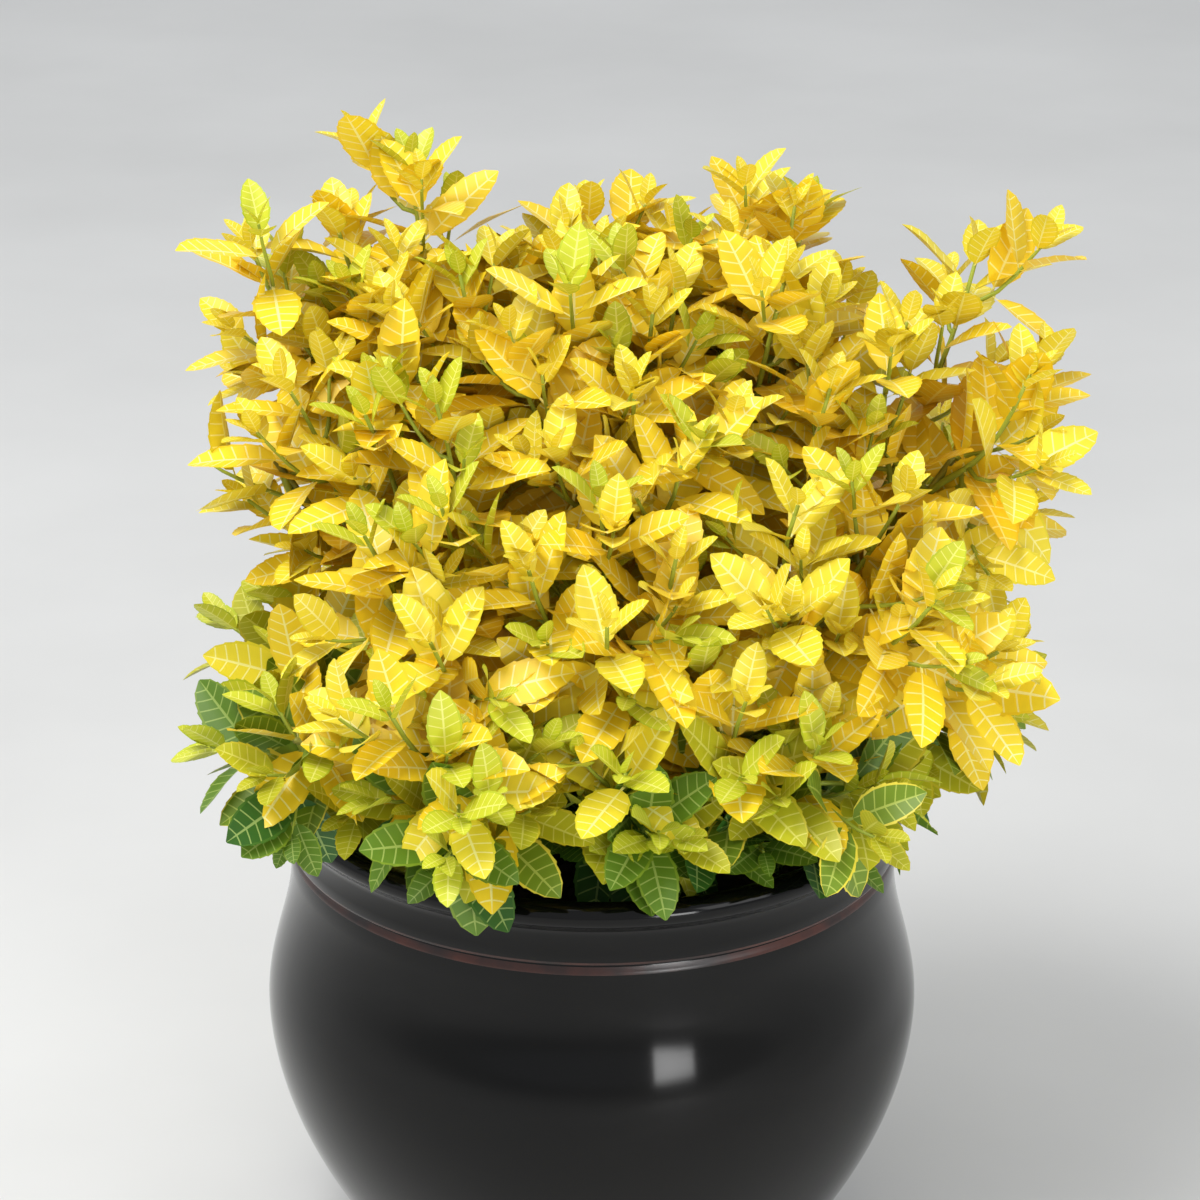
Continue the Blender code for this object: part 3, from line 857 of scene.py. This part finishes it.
NAMED_SHOOTS = (  # across, back, over the rim; lean across and back
    (-0.071, 0.078, 0.213, -0.10, 0.05),  # the highest tip, left of the middle
    (-0.098, 0.058, 0.196, -0.25, 0.05),
    (-0.129, 0.050, 0.188, -0.30, 0.10),  # the upper left corner
    (-0.004, 0.093, 0.190, 0.00, 0.15),
    (0.028, 0.082, 0.186, 0.10, 0.10),
    (0.058, 0.092, 0.197, 0.00, 0.15),
    (0.074, 0.072, 0.199, 0.15, 0.10),
    (0.141, 0.045, 0.190, 0.20, 0.10),  # the upper right corner
    (0.157, -0.002, 0.158, 0.35, -0.05),
    (0.150, -0.026, 0.050, 0.90, -0.30),  # the low shoot at the right
    (-0.113, -0.076, 0.058, -0.55, 0.10),  # the branch that sprawls to the left
    (-0.070, -0.126, 0.078, -0.35, -0.45),  # the cluster over the rim at the left
    (-0.035, -0.134, 0.050, 0.10, -1.20),
    (0.078, -0.112, 0.060, 0.20, -0.60),  # the cluster over the rim at the right
)


@dataclass
class Crown:
    """The crown as reaches and heights of its shoot tips."""

    middle: Span = (0.008, 0.002)
    left: float = 130 * MM
    right: float = 147 * MM
    front: float = 118 * MM
    back: float = 126 * MM
    power: float = 2.7
    top: float = 186 * MM
    edge_drop: float = 20 * MM
    front_fall: float = 88 * MM
    fall_start: float = 0.030
    fall_power: float = 1.3
    back_fall: float = 34 * MM
    cap_shoots: int = 46
    cap_lean: float = 34.0
    jitter: float = 5 * MM
    height_jitter: float = 9 * MM
    landmark_room: float = 27 * MM
    flanks: tuple[Flank, ...] = (
        Flank(0.70, 1.02, 12, 50.0),
        Flank(0.42, 0.98, 11, 64.0),
        Flank(0.16, 0.80, 8, 76.0),
    )

    def reach(self, angle: float) -> float:
        """Work out how far tips reach from the crown's middle.

        The plan is a rounded box: |x / side| ^ power + |y / depth| ^ power = 1.

        Args:
            angle: The direction in the plan.

        Returns:
            The reach.
        """
        across, back = math.cos(angle), math.sin(angle)
        side = self.right if across > 0 else self.left
        depth = self.back if back > 0 else self.front
        total = abs(across / side) ** self.power + abs(back / depth) ** self.power
        return total ** (-1.0 / self.power)

    def height(self, back: float, share: float) -> float:
        """Work out the height of tips on the crown's top, which falls all round.

        Args:
            back: The tip's place back.
            share: Its share of the reach.

        Returns:
            The height over the rim.
        """
        height = self.top - self.edge_drop * share ** 2
        ahead = max(0.0, (self.fall_start - back) / (self.fall_start + self.front))
        behind = max(0.0, (back - self.fall_start) / (self.back - self.fall_start))
        return height - self.front_fall * ahead ** self.fall_power - self.back_fall * behind ** 2

    @staticmethod
    def leaning(angle: float, degrees: float) -> Vector:
        """Lean a shoot from upright towards a direction.

        Args:
            angle: The direction in the plan.
            degrees: How far it leans.

        Returns:
            Its heading, 1 long.
        """
        lean = math.radians(degrees)
        flat = math.sin(lean)
        return Vector((flat * math.cos(angle), flat * math.sin(angle), math.cos(lean)))

    def tip(self, angle: float, away: float, share: float, height_share: float) -> Vector:
        """Find the tip of a shoot.

        Args:
            angle: Its direction from the crown's middle.
            away: Its distance from there.
            share: Its share of the reach.
            height_share: Its share of the height.

        Returns:
            The tip.
        """
        back = self.middle[1] + away * math.sin(angle)
        height = self.height(back, share) * height_share
        return over_rim(self.middle[0] + away * math.cos(angle), back, height)

    def shoots(self) -> list[Shoot]:
        """Place the shoots: the named ones, and those of the rule that leave them room.

        The rule deals the cap's shoots out by the golden angle, at distances that grow with
        the square root of their number, and sets the others in rings on the sides.

        Returns:
            The shoots.
        """
        dice = Random(SEED)
        golden = math.pi * (3.0 - math.sqrt(5.0))
        ruled = []
        for index in range(self.cap_shoots):
            share = math.sqrt((index + 0.5) / self.cap_shoots)
            angle = index * golden
            tip = self.tip(angle, self.reach(angle) * share, share, 1.0)
            ruled.append(Shoot(tip, self.leaning(angle, self.cap_lean * share)))
        for level, flank in enumerate(self.flanks):
            for index in range(flank.count):
                angle = FULL_TURN * (index + 0.5 * level) / flank.count
                away = self.reach(angle) * flank.reach_share
                tip = self.tip(angle, away, 1.0, flank.height_share)
                ruled.append(Shoot(tip, self.leaning(angle, flank.lean)))
        for shoot in ruled:
            shift = Vector((dice.uniform(-1, 1), dice.uniform(-1, 1), 0.0)) * self.jitter
            shift.z = dice.uniform(-1, 1) * self.height_jitter
            shoot.tip += shift
        kept = []
        for across, back, height, lean_across, lean_back in NAMED_SHOOTS:
            heading = Vector((lean_across, lean_back, 1.0)).normalized()
            kept.append(Shoot(over_rim(across, back, height), heading))
        named = [shoot.tip for shoot in kept]
        for shoot in ruled:
            if min((shoot.tip - other).length for other in named) > self.landmark_room:
                kept.append(shoot)
        return kept


# Leaves


@dataclass
class LeafPattern:
    """One leaf, 1 long, as a grid of points: toothed, pointed, with side veins.

    Rows run from the stalk to the tip. A point's place along the blade is
    t + sweep |s| sin(pi t), so that the rows sweep towards the tip as side veins do, and
    its place across is s times the half width, width / 2 sin(pi t ^ lead) ^ blunt.
    """

    width: float = 0.5
    sweep: float = 0.13
    stalk: float = 0.10
    tooth: float = 0.07
    vein: float = 0.017
    lead: float = 0.9
    blunt: float = 0.56
    first_row: float = 0.04
    least_half: float = 0.012
    stalk_half: float = 0.016
    blade_rows: int = 7
    across: tuple[float, ...] = (-1.0, -0.84, -0.46, -0.055, 0.055, 0.46, 0.84, 1.0)

    def rows(self) -> tuple[Array, Array]:
        """Work out the rows: the stalk's end, the blade's rows and the veins.

        Returns:
            Each row line's place along the blade, and which rows are veins.
        """
        edges = np.linspace(self.first_row, 1.0, self.blade_rows + 1)
        lines = [0.0, edges[0]]
        veins = [False]
        for edge in edges[1:-1]:
            lines += [edge - self.vein, edge]
            veins += [False, True]
        lines.append(1.0)
        veins.append(False)
        return np.array(lines), np.array(veins)

    def points(self) -> Array:
        """Work out the pattern's points.

        Returns:
            Places across and along, row by row, the stalk first.
        """
        lines, _ = self.rows()
        s = np.array(self.across)[None, :]
        t = lines[:, None]
        ahead = t + self.sweep * np.abs(s) * np.sin(math.pi * t)
        bow = np.sin(math.pi * np.clip(ahead, 0, 1) ** self.lead)
        half = np.maximum(0.5 * self.width * bow ** self.blunt, self.least_half)
        half[0] = self.stalk_half
        tooth = 1.0 - self.tooth * (np.arange(len(lines))[:, None] % 2) * (np.abs(s) == 1.0)
        blade = np.stack([s * half * tooth, self.stalk + (1 - self.stalk) * ahead], axis=-1)
        stalk = np.stack([s * self.stalk_half, np.zeros_like(s)], axis=-1)
        return np.concatenate([stalk, blade]).reshape(-1, 2)

    def faces(self) -> tuple[Array, Array]:
        """Work out the pattern's faces.

        Returns:
            The quads, and the LeafPart of each.
        """
        lines, veins = self.rows()
        columns = len(self.across)
        quads = grid_faces(len(lines) + 1, columns, closed=False)
        parts = np.full((len(lines), columns - 1), LeafPart.BLADE.value)
        parts[1:][veins] = LeafPart.VEIN.value
        parts[:, 0] = LeafPart.MARGIN.value
        parts[:, -1] = LeafPart.MARGIN.value
        parts[:, (columns - 1) // 2] = LeafPart.VEIN.value
        parts[0] = LeafPart.VEIN.value
        return quads, parts.ravel()


LEAF_SPOTS = ((0.3, 0.0), (0.6, 0.2), (0.6, -0.2), (1.0, 0.0))  # along, and to the side
LEAF_WAVE = 9.0  # radians of the margin's wave along a leaf


@dataclass
class Leaf:
    """Where a leaf stands, how long it is, how it bends, and its tint."""

    root: Vector
    along: Vector
    up: Vector
    length: float
    fold: float
    curl: float
    wave: float
    tint: int

    def samples(self) -> Array:
        """Find points over the blade, for tests against the pot and the box.

        Returns:
            The points, one row each.
        """
        side = self.along.cross(self.up)
        rows = []
        for ahead, out in LEAF_SPOTS:
            place = self.root + self.along * (ahead * self.length) + side * (out * self.length)
            rows.append(place - self.up * (self.curl * ahead ** 2 * self.length))
        return np.array(rows)


def leaves_object(
    name: str, leaves: list[Leaf], pattern: LeafPattern, materials: list[Material]
) -> Object:
    """Make one piece of many leaves.

    A point of a leaf lies at root + length (side x + along y + up z), where x and y are the
    pattern's and z = fold |x| - curl y ^ 2 + wave |x| sin(LEAF_WAVE y).

    Args:
        name: The piece's name.
        leaves: The leaves.
        pattern: The shape they share.
        materials: The materials of every tint in turn.

    Returns:
        The piece.
    """
    flat = pattern.points()
    quads, parts = pattern.faces()
    root = np.array([leaf.root for leaf in leaves])[:, None]
    along = np.array([leaf.along for leaf in leaves])[:, None]
    up = np.array([leaf.up for leaf in leaves])[:, None]
    length, fold, curl, wave = np.array(
        [(leaf.length, leaf.fold, leaf.curl, leaf.wave) for leaf in leaves]
    ).T[:, :, None]
    side = np.cross(along, up)
    x, y = flat[None, :, 0], flat[None, :, 1]
    z = fold * np.abs(x) - curl * y ** 2 + wave * np.abs(x) * np.sin(LEAF_WAVE * y)
    places = root + length[..., None] * (
        side * x[..., None] + along * y[..., None] + up * z[..., None]
    )
    first = np.arange(len(leaves))[:, None, None] * len(flat)
    tint = np.array([leaf.tint for leaf in leaves])[:, None]
    slots = (tint * len(LeafPart) + parts[None, :]).ravel()
    faces = [(quads[None] + first).reshape(-1, 4)]
    return mesh_object(name, places.reshape(-1, 3), faces, materials, slots)


@dataclass(frozen=True)
class Pair:
    """A pair of leaves on a shoot: distance from its tip, size and spread from the twig."""

    distance: float
    size: float
    spread: float


Deal = dict[str, float]  # tints, each with the chance below which it is dealt


@dataclass(frozen=True)
class Zone:
    """The tints of sprays that are more than some millimetres over the rim."""

    over: float
    tip: Deal
    full: Deal
    # the inner, older leaves of a spray: in high zones their deeper gold is partly their own colour
    # and partly painted shade
    shaded: Deal

    def tints(self, chance: float) -> list[str]:
        """Return the tints of a spray's tip, its full leaves and its shaded ones."""
        deals = (self.tip, self.full, self.shaded)
        return [next(tint for tint, limit in deal.items() if chance < limit) for deal in deals]


ZONES = (
    Zone(110, {"young": 0.3, "lemon": 1}, {"sunlit": 0.55, "bright": 0.85, "lemon": 1}, {"golden": 1}),
    Zone(
        62, {"young": 0.35, "lemon": 1}, {"bright": 0.5, "sunlit": 0.8, "lemon": 1},
        {"golden": 0.6, "shaded_amber": 1},
    ),
    Zone(42, {"young": 1}, {"bright": 0.4, "lemon": 0.75, "olive": 1}, {"olive": 0.5, "edged": 1}),
    Zone(20, {"olive": 0.5, "young": 1}, {"olive": 0.3, "edged": 0.55, "green": 1}, {"green": 1}),
    Zone(-math.inf, {"green": 1}, {"dark": 1}, {"dark": 1}),
)


@dataclass(frozen=True)
class TwigKind:
    """How thick a kind of twig is at its root and tip, and how many sides it has."""

    root: float
    tip: float
    sides: int

    def along(self, way: list[Vector]) -> Shape:
        """Return the twig along a path."""
        return tube(np.array(way), np.linspace(self.root, self.tip, len(way)), self.sides)


def steps_of(way: list[Vector]) -> list[float]:
    """Return the lengths of a path's steps."""
    return [(after - before).length for before, after in zip(way, way[1:])]


def square_to(heading: Vector, angle: float) -> Vector:
    """Return the direction square to a heading, at an angle round it."""
    flat = heading.orthogonal().normalized()
    return flat * math.cos(angle) + heading.cross(flat) * math.sin(angle)


@dataclass
class Foliage:
    """The twigs and leaves of every mass. Random ranges are written low to high."""

    crown: Crown
    boughs: Boughs
    pot: Pot
    leaf_length: float = 39 * MM
    least_apart: float = 6.5 * MM
    light_turn: float = 0.95
    bare_foot: float = 0.93  # no leaves stand further down a twig than this share
    sizes: Span = (0.86, 1.1)
    folds: Span = (0.14, 0.36)
    curls: Span = (0.02, 0.2)
    waves: float = 0.07
    pair_turn: float = 0.22
    leaf_turn: float = 0.12
    leaf_middle: float = 0.55
    tries: tuple[tuple[float, ...], ...] = (  # size, degrees nearer the twig, further round
        (1.0, 0.0, 0.0), (0.9, 10.0, 0.35), (0.85, 16.0, -0.4)
    )
    pairs: tuple[Pair, ...] = (
        Pair(0.5 * MM, 0.36, 20.0),
        Pair(6 * MM, 0.62, 36.0),
        Pair(16 * MM, 0.88, 50.0),
        Pair(30 * MM, 1.0, 60.0),
        Pair(46 * MM, 1.0, 66.0),
        Pair(62 * MM, 0.98, 70.0),
        Pair(79 * MM, 0.92, 74.0),
    )
    short_pairs: int = 4
    main_twig: TwigKind = TwigKind(1.6 * MM, 0.75 * MM, 6)
    side_twig: TwigKind = TwigKind(1.0 * MM, 0.6 * MM, 5)
    fill_twig: TwigKind = TwigKind(1.1 * MM, 0.6 * MM, 5)
    twig_run: float = 48 * MM
    runs: tuple[float, ...] = (1.0, 0.6, 0.25)
    leave: float = 0.3
    twig_points: int = 10
    first_start: float = 0.45  # the first twig leaves the limb at this share of it
    start_span: float = 0.52
    side_marks: tuple[float, ...] = (20 * MM, 34 * MM, 50 * MM, 68 * MM)
    side_reach: float = 0.75
    side_length: float = 34 * MM
    side_sizes: Span = (0.7, 1.15)
    side_aim: tuple[float, float, float] = (0.75, 0.8, 0.25)  # ahead, outward, up
    short_bend: float = 0.3
    short_arrive: float = 0.4
    short_points: int = 6
    fill_low: int = 12
    fill_high: int = 6
    fill_start: float = 0.55
    fill_turn: float = 0.4
    fill_outward: float = 0.55
    fill_rise: Span = (-0.15, 0.7)
    fill_sizes: Span = (0.9, 1.35)
    groups: tuple[str, ...] = ("crest", "outer", "front", "side", "skirt", "back")
    centres: list[Vector] = field(default_factory=list)

    def inside(self, leaf: Leaf) -> bool:
        """Test whether a leaf keeps clear of the pot and in the plain model's box.

        Args:
            leaf: The leaf.

        Returns:
            Whether it does.
        """
        samples = leaf.samples()
        if self.pot.solid_at(samples, LEAF_CLEAR).any():
            return False
        above = samples > np.array(CAD_LOW) - BOX_SPARE
        below = samples < np.array(CAD_HIGH) + BOX_SPARE
        return bool(above.all() and below.all())

    def leaf(
        self, node: Vector, heading: Vector, pair: Pair, turn: float, tint: str, dice: Random
    ) -> Leaf | None:
        """Place one leaf where it has room.

        Args:
            node: Where it leaves the twig.
            heading: The twig's heading there.
            pair: The pair that it belongs to.
            turn: Its place round the twig, in radians.
            tint: Its tint's name.
            dice: The mass's random numbers.

        Returns:
            The leaf, or nothing where no try has room.
        """
        size = self.leaf_length * pair.size * dice.uniform(*self.sizes)
        twist = dice.uniform(-self.leaf_turn, self.leaf_turn)
        fold, curl = dice.uniform(*self.folds), dice.uniform(*self.curls)
        wave = dice.uniform(-self.waves, self.waves)
        for shrink, nearer, further in self.tries:
            outward = square_to(heading, turn + twist + further)
            spread = math.radians(pair.spread - nearer)
            along = heading * math.cos(spread) + outward * math.sin(spread)
            up = heading + Vector((0.0, 0.0, self.light_turn))
            up = (up - along * up.dot(along)).normalized()
            leaf = Leaf(node, along, up, size * shrink, fold, curl, wave, TINT_NUMBER[tint])
            centre = node + along * (self.leaf_middle * leaf.length)
            room = self.least_apart * pair.size
            crowded = any((centre - other).length < room for other in self.centres)
            if not crowded and self.inside(leaf):
                self.centres.append(centre)
                return leaf
        return None

    def spray(self, way: list[Vector], pairs: tuple[Pair, ...], dice: Random) -> list[Leaf]:
        """Stand pairs of leaves on a shoot, a quarter turn apart, from its tip down.

        Args:
            way: The shoot's points, its tip last.
            pairs: The pairs, the tip's first.
            dice: The mass's random numbers.

        Returns:
            The leaves that found room.
        """
        height = (way[-1].z - POT_HEIGHT) / MM
        zone = next(zone for zone in ZONES if height > zone.over)
        tints = zone.tints(dice.random())
        steps = steps_of(way)
        quarter = dice.uniform(0.0, math.pi)
        leaves = []
        for number, pair in enumerate(pairs):
            if pair.distance > self.bare_foot * sum(steps):
                break
            left = pair.distance
            index = len(steps) - 1
            while index > 0 and left > steps[index]:
                left -= steps[index]
                index -= 1
            heading = (way[index + 1] - way[index]).normalized()
            node = way[index + 1] - heading * left
            turn = quarter + 0.5 * math.pi * number + dice.uniform(-self.pair_turn, self.pair_turn)
            # from the fifth pair down the leaves take the shaded tint, which in high sprays is partly
            # painted shade
            tint = tints[min(number // 2, 2)]
            for side in (0.0, math.pi):
                leaf = self.leaf(node, heading, pair, turn + side, tint, dice)
                if leaf is not None:
                    leaves.append(leaf)
        return leaves

    def passes(self, way: list[Vector]) -> bool:
        """Return whether a twig along a path passes the pot."""
        return not self.pot.solid_at(np.array(way), TWIG_CLEAR).any()

    def twig(self, start: Vector, outward: Vector, shoot: Shoot) -> list[Vector]:
        """Bend a twig from its limb to a shoot's tip, with the longest run that passes the pot.

        Args:
            start: Where it leaves the limb.
            outward: Its heading there.
            shoot: The shoot that it ends in.

        Returns:
            The twig's points.
        """
        for share in self.runs:
            one = start + outward * (self.leave * (shoot.tip - start).length)
            two = shoot.tip - shoot.heading * (self.twig_run * share)
            way = interpolate_bezier(start, one, two, shoot.tip, self.twig_points)
            if self.passes(way):
                break
        return way

    def side_shoots(self, way: list[Vector], dice: Random) -> list[list[Vector]]:
        """Grow short shoots all round a twig, each a fixed turn further.

        Args:
            way: The twig's points.
            dice: The mass's random numbers.

        Returns:
            The points of each shoot.
        """
        ways = []
        first_turn = dice.uniform(0.0, FULL_TURN)
        total = sum(steps_of(way))
        ahead, out, up = self.side_aim
        for number, mark in enumerate(self.side_marks):
            if mark > self.side_reach * total:
                break
            place = (1.0 - mark / total) * (len(way) - 1)
            index = min(int(place), len(way) - 2)
            start = way[index].lerp(way[index + 1], place - index)
            heading = (way[index + 1] - way[index]).normalized()
            outward = square_to(heading, first_turn + NEXT_TURN * number)
            aim = (heading * ahead + outward * out + Vector((0, 0, up))).normalized()
            length = self.side_length * dice.uniform(*self.side_sizes)
            ways += self.short_shoot(start, outward, aim, length)
        return ways

    def short_shoot(
        self, start: Vector, outward: Vector, aim: Vector, length: float
    ) -> list[list[Vector]]:
        """Grow one short shoot that turns up at its end.

        Args:
            start: Where it starts.
            outward: Its heading there.
            aim: The direction of its tip.
            length: How far its tip is.

        Returns:
            Its points in a list, which is empty where the pot is in its way.
        """
        tip = start + aim * length
        bent = (aim + Vector((0, 0, self.short_bend))).normalized()
        one = start + outward * (self.leave * length)
        two = tip - bent * (self.short_arrive * length)
        way = interpolate_bezier(start, one, two, tip, self.short_points)
        return [way] if self.passes(way) else []

    def filling_shoots(self, mass: Mass, dice: Random) -> list[list[Vector]]:
        """Grow shoots all round a mass's own stem, to fill its lower part.

        Args:
            mass: The mass.
            dice: The mass's random numbers.

        Returns:
            The points of each shoot.
        """
        limb = self.boughs.limbs[mass.name]
        count = self.fill_low if mass.level is Level.LOW else self.fill_high
        ways = []
        for number in range(count):
            share = self.fill_start + (1.0 - self.fill_start) * (number + 0.5) / count
            start = limb.point(share)
            angle = NEXT_TURN * number + dice.uniform(-self.fill_turn, self.fill_turn)
            outward = Vector((start.x, start.y, 0.0)).normalized() * self.fill_outward
            around = Vector((math.cos(angle), math.sin(angle), dice.uniform(*self.fill_rise)))
            aim = (around + outward).normalized()
            length = self.side_length * dice.uniform(*self.fill_sizes)
            ways += self.short_shoot(start, aim, aim, length)
        return ways

    def grow(self, mass: Mass, shoots: list[Shoot]) -> tuple[list[Shape], list[Leaf]]:
        """Grow one mass.

        Args:
            mass: The mass.
            shoots: The shoots whose tips lie in its space.

        Returns:
            Its twigs, as tubes, and its leaves.
        """
        dice = Random(f"{SEED} {mass.name}")
        limb = self.boughs.limbs[mass.name]
        shoots = sorted(shoots, key=lambda shoot: -(shoot.tip - mass.middle).length)
        short = self.pairs[:self.short_pairs]
        tubes, leaves = [], []
        for index, shoot in enumerate(shoots):
            share = self.first_start + self.start_span * index / max(1, len(shoots) - 1)
            start = limb.point(share)
            outward = (limb.heading(share) + (shoot.tip - start).normalized()).normalized()
            way = self.twig(start, outward, shoot)
            tubes.append(self.main_twig.along(way))
            leaves += self.spray(way, self.pairs, dice)
            for side in self.side_shoots(way, dice):
                tubes.append(self.side_twig.along(side))
                leaves += self.spray(side, short, dice)
        for way in self.filling_shoots(mass, dice):
            tubes.append(self.fill_twig.along(way))
            leaves += self.spray(way, short, dice)
        return tubes, leaves

    def build(self) -> list[Object]:
        """Build the groups, each of as many masses, in their order.

        Returns:
            Two pieces a group, its twigs and its leaves.
        """
        shared = {mass.name: [] for mass in MASSES}
        for shoot in self.crown.shoots():
            nearest = min(MASSES, key=lambda mass: (mass.middle - shoot.tip).length)
            shared[nearest.name].append(shoot)
        materials = [material for tint in TINTS for material in tint.make()]
        bark = PlainFinish("twig_green", (158, 172, 58), 0.5).make()
        pattern = LeafPattern()
        pieces = []
        share = len(MASSES) // len(self.groups)
        for number, group in enumerate(self.groups):
            masses = MASSES[number * share:(number + 1) * share]
            tubes, leaves = [], []
            for mass in masses:
                more_tubes, more_leaves = self.grow(mass, shared[mass.name])
                tubes += more_tubes
                leaves += more_leaves
            nodes = [f"foliage_{mass.name}" for mass in masses]
            twigs = mesh_object(f"twigs_{group}", *joined(tubes), [bark])
            blades = leaves_object(f"leaves_{group}", leaves, pattern, materials)
            for piece in (twigs, blades):
                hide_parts(*nodes)
                pieces.append(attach(piece, "root"))
            log.info("%s: %d leaves, %d twigs", group, len(leaves), len(tubes))
        return pieces


# Studio


@dataclass(frozen=True)
class SoftLight:
    """A square soft light: its place, aim, size, power, and spread in degrees."""

    name: str
    place: tuple[float, float, float]
    aim: tuple[float, float, float]
    size: float
    power: float
    spread: float = 180.0

    def hang(self) -> None:
        """Hang the light, turned to its aim."""
        data = bpy.data.lights.new(self.name, "AREA")
        data.size = self.size
        data.energy = self.power
        data.spread = math.radians(self.spread)
        light = bpy.data.objects.new(self.name, data)
        light.location = self.place
        ahead = Vector(self.aim) - Vector(self.place)
        light.rotation_euler = ahead.to_track_quat("-Z", "Y").to_euler()
        bpy.context.scene.collection.objects.link(light)


@dataclass
class Studio:
    """Pale floor, soft light and the camera at the photograph's angle."""

    distance: float = 1.44
    down: float = 24.8
    axis_down: float = 22.3
    axis_right: float = 0.075
    roll: float = 0.5
    lens: float = 113.9
    sensor: float = 36.0
    sight: float = 50.0
    floor_size: float = 16.0
    sky: tuple[float, ...] = (0.93, 0.96, 1.0, 1.0)
    sky_strength: float = 0.68
    lamps: tuple[SoftLight, ...] = (
        SoftLight("key", (-0.7, -0.5, 1.7), (0.0, 0.0, 0.25), 0.9, 22.0),
        SoftLight("fill", (1.4, -1.2, 0.9), (0.0, 0.0, 0.25), 0.8, 5.0),
        SoftLight("window", (0.66, -1.3, 0.27), (0.0, 0.0, 0.12), 0.34, 1.2, 90.0),
    )

    def floor(self) -> None:
        """Lay the floor under the pot."""
        half = 0.5 * self.floor_size
        corners = np.array([(-half, -half), (half, -half), (half, half), (-half, half)])
        places = np.column_stack([corners, np.zeros(4)])
        finish = MottledFinish("studio_floor", (222, 221, 218), (230, 229, 226), 3.0, roughness=0.7)
        faces = [np.array([[0, 1, 2, 3]])]
        floor = mesh_object("studio_floor", places, faces, [finish.make()])

    def lights(self) -> None:
        """Hang the lights and set the pale surroundings."""
        for lamp in self.lamps:
            lamp.hang()
        world = bpy.data.worlds.new("studio")
        world.use_nodes = True
        sky = world.node_tree.nodes["Background"]
        sky.inputs["Color"].default_value = self.sky
        sky.inputs["Strength"].default_value = self.sky_strength
        bpy.context.scene.world = world
        bpy.context.scene.view_settings.view_transform = "Standard"

    def camera(self) -> None:
        """Set the camera up at the photograph's distance, height and turn."""
        down = math.radians(self.down)
        back = Vector((0.0, -math.cos(down), math.sin(down))) * self.distance
        data = bpy.data.cameras.new("camera")
        data.lens = self.lens
        data.sensor_width = self.sensor
        data.clip_end = self.sight
        camera = bpy.data.objects.new("camera", data)
        camera.location = Vector((0.0, 0.0, POT_HEIGHT)) + back
        tilt, side = math.radians(self.axis_down), math.radians(self.axis_right)
        ahead = Vector((math.sin(side), math.cos(side) * math.cos(tilt), -math.sin(tilt)))
        turn = ahead.to_track_quat("-Z", "Y")
        camera.rotation_mode = "QUATERNION"
        camera.rotation_quaternion = turn @ Quaternion((0, 0, 1), math.radians(self.roll))
        bpy.context.scene.collection.objects.link(camera)
        bpy.context.scene.camera = camera

    def build(self) -> None:
        """Build the whole studio."""
        self.floor()
        self.lights()
        self.camera()


def main() -> None:
    """Build every piece in order."""
    logging.basicConfig(level=logging.INFO, format="%(message)s")
    pot = Pot()
    stem = MainStem()
    boughs = Boughs(stem)
    pieces = [pot.build(), Soil().build(pot), stem.build(), boughs.build()]
    pieces += Foliage(Crown(), boughs, pot).build()
    for piece in pieces:
        log.info("%s: %d faces", piece.name, len(piece.data.polygons))
    Studio().build()


if __name__ == "__main__":
    main()
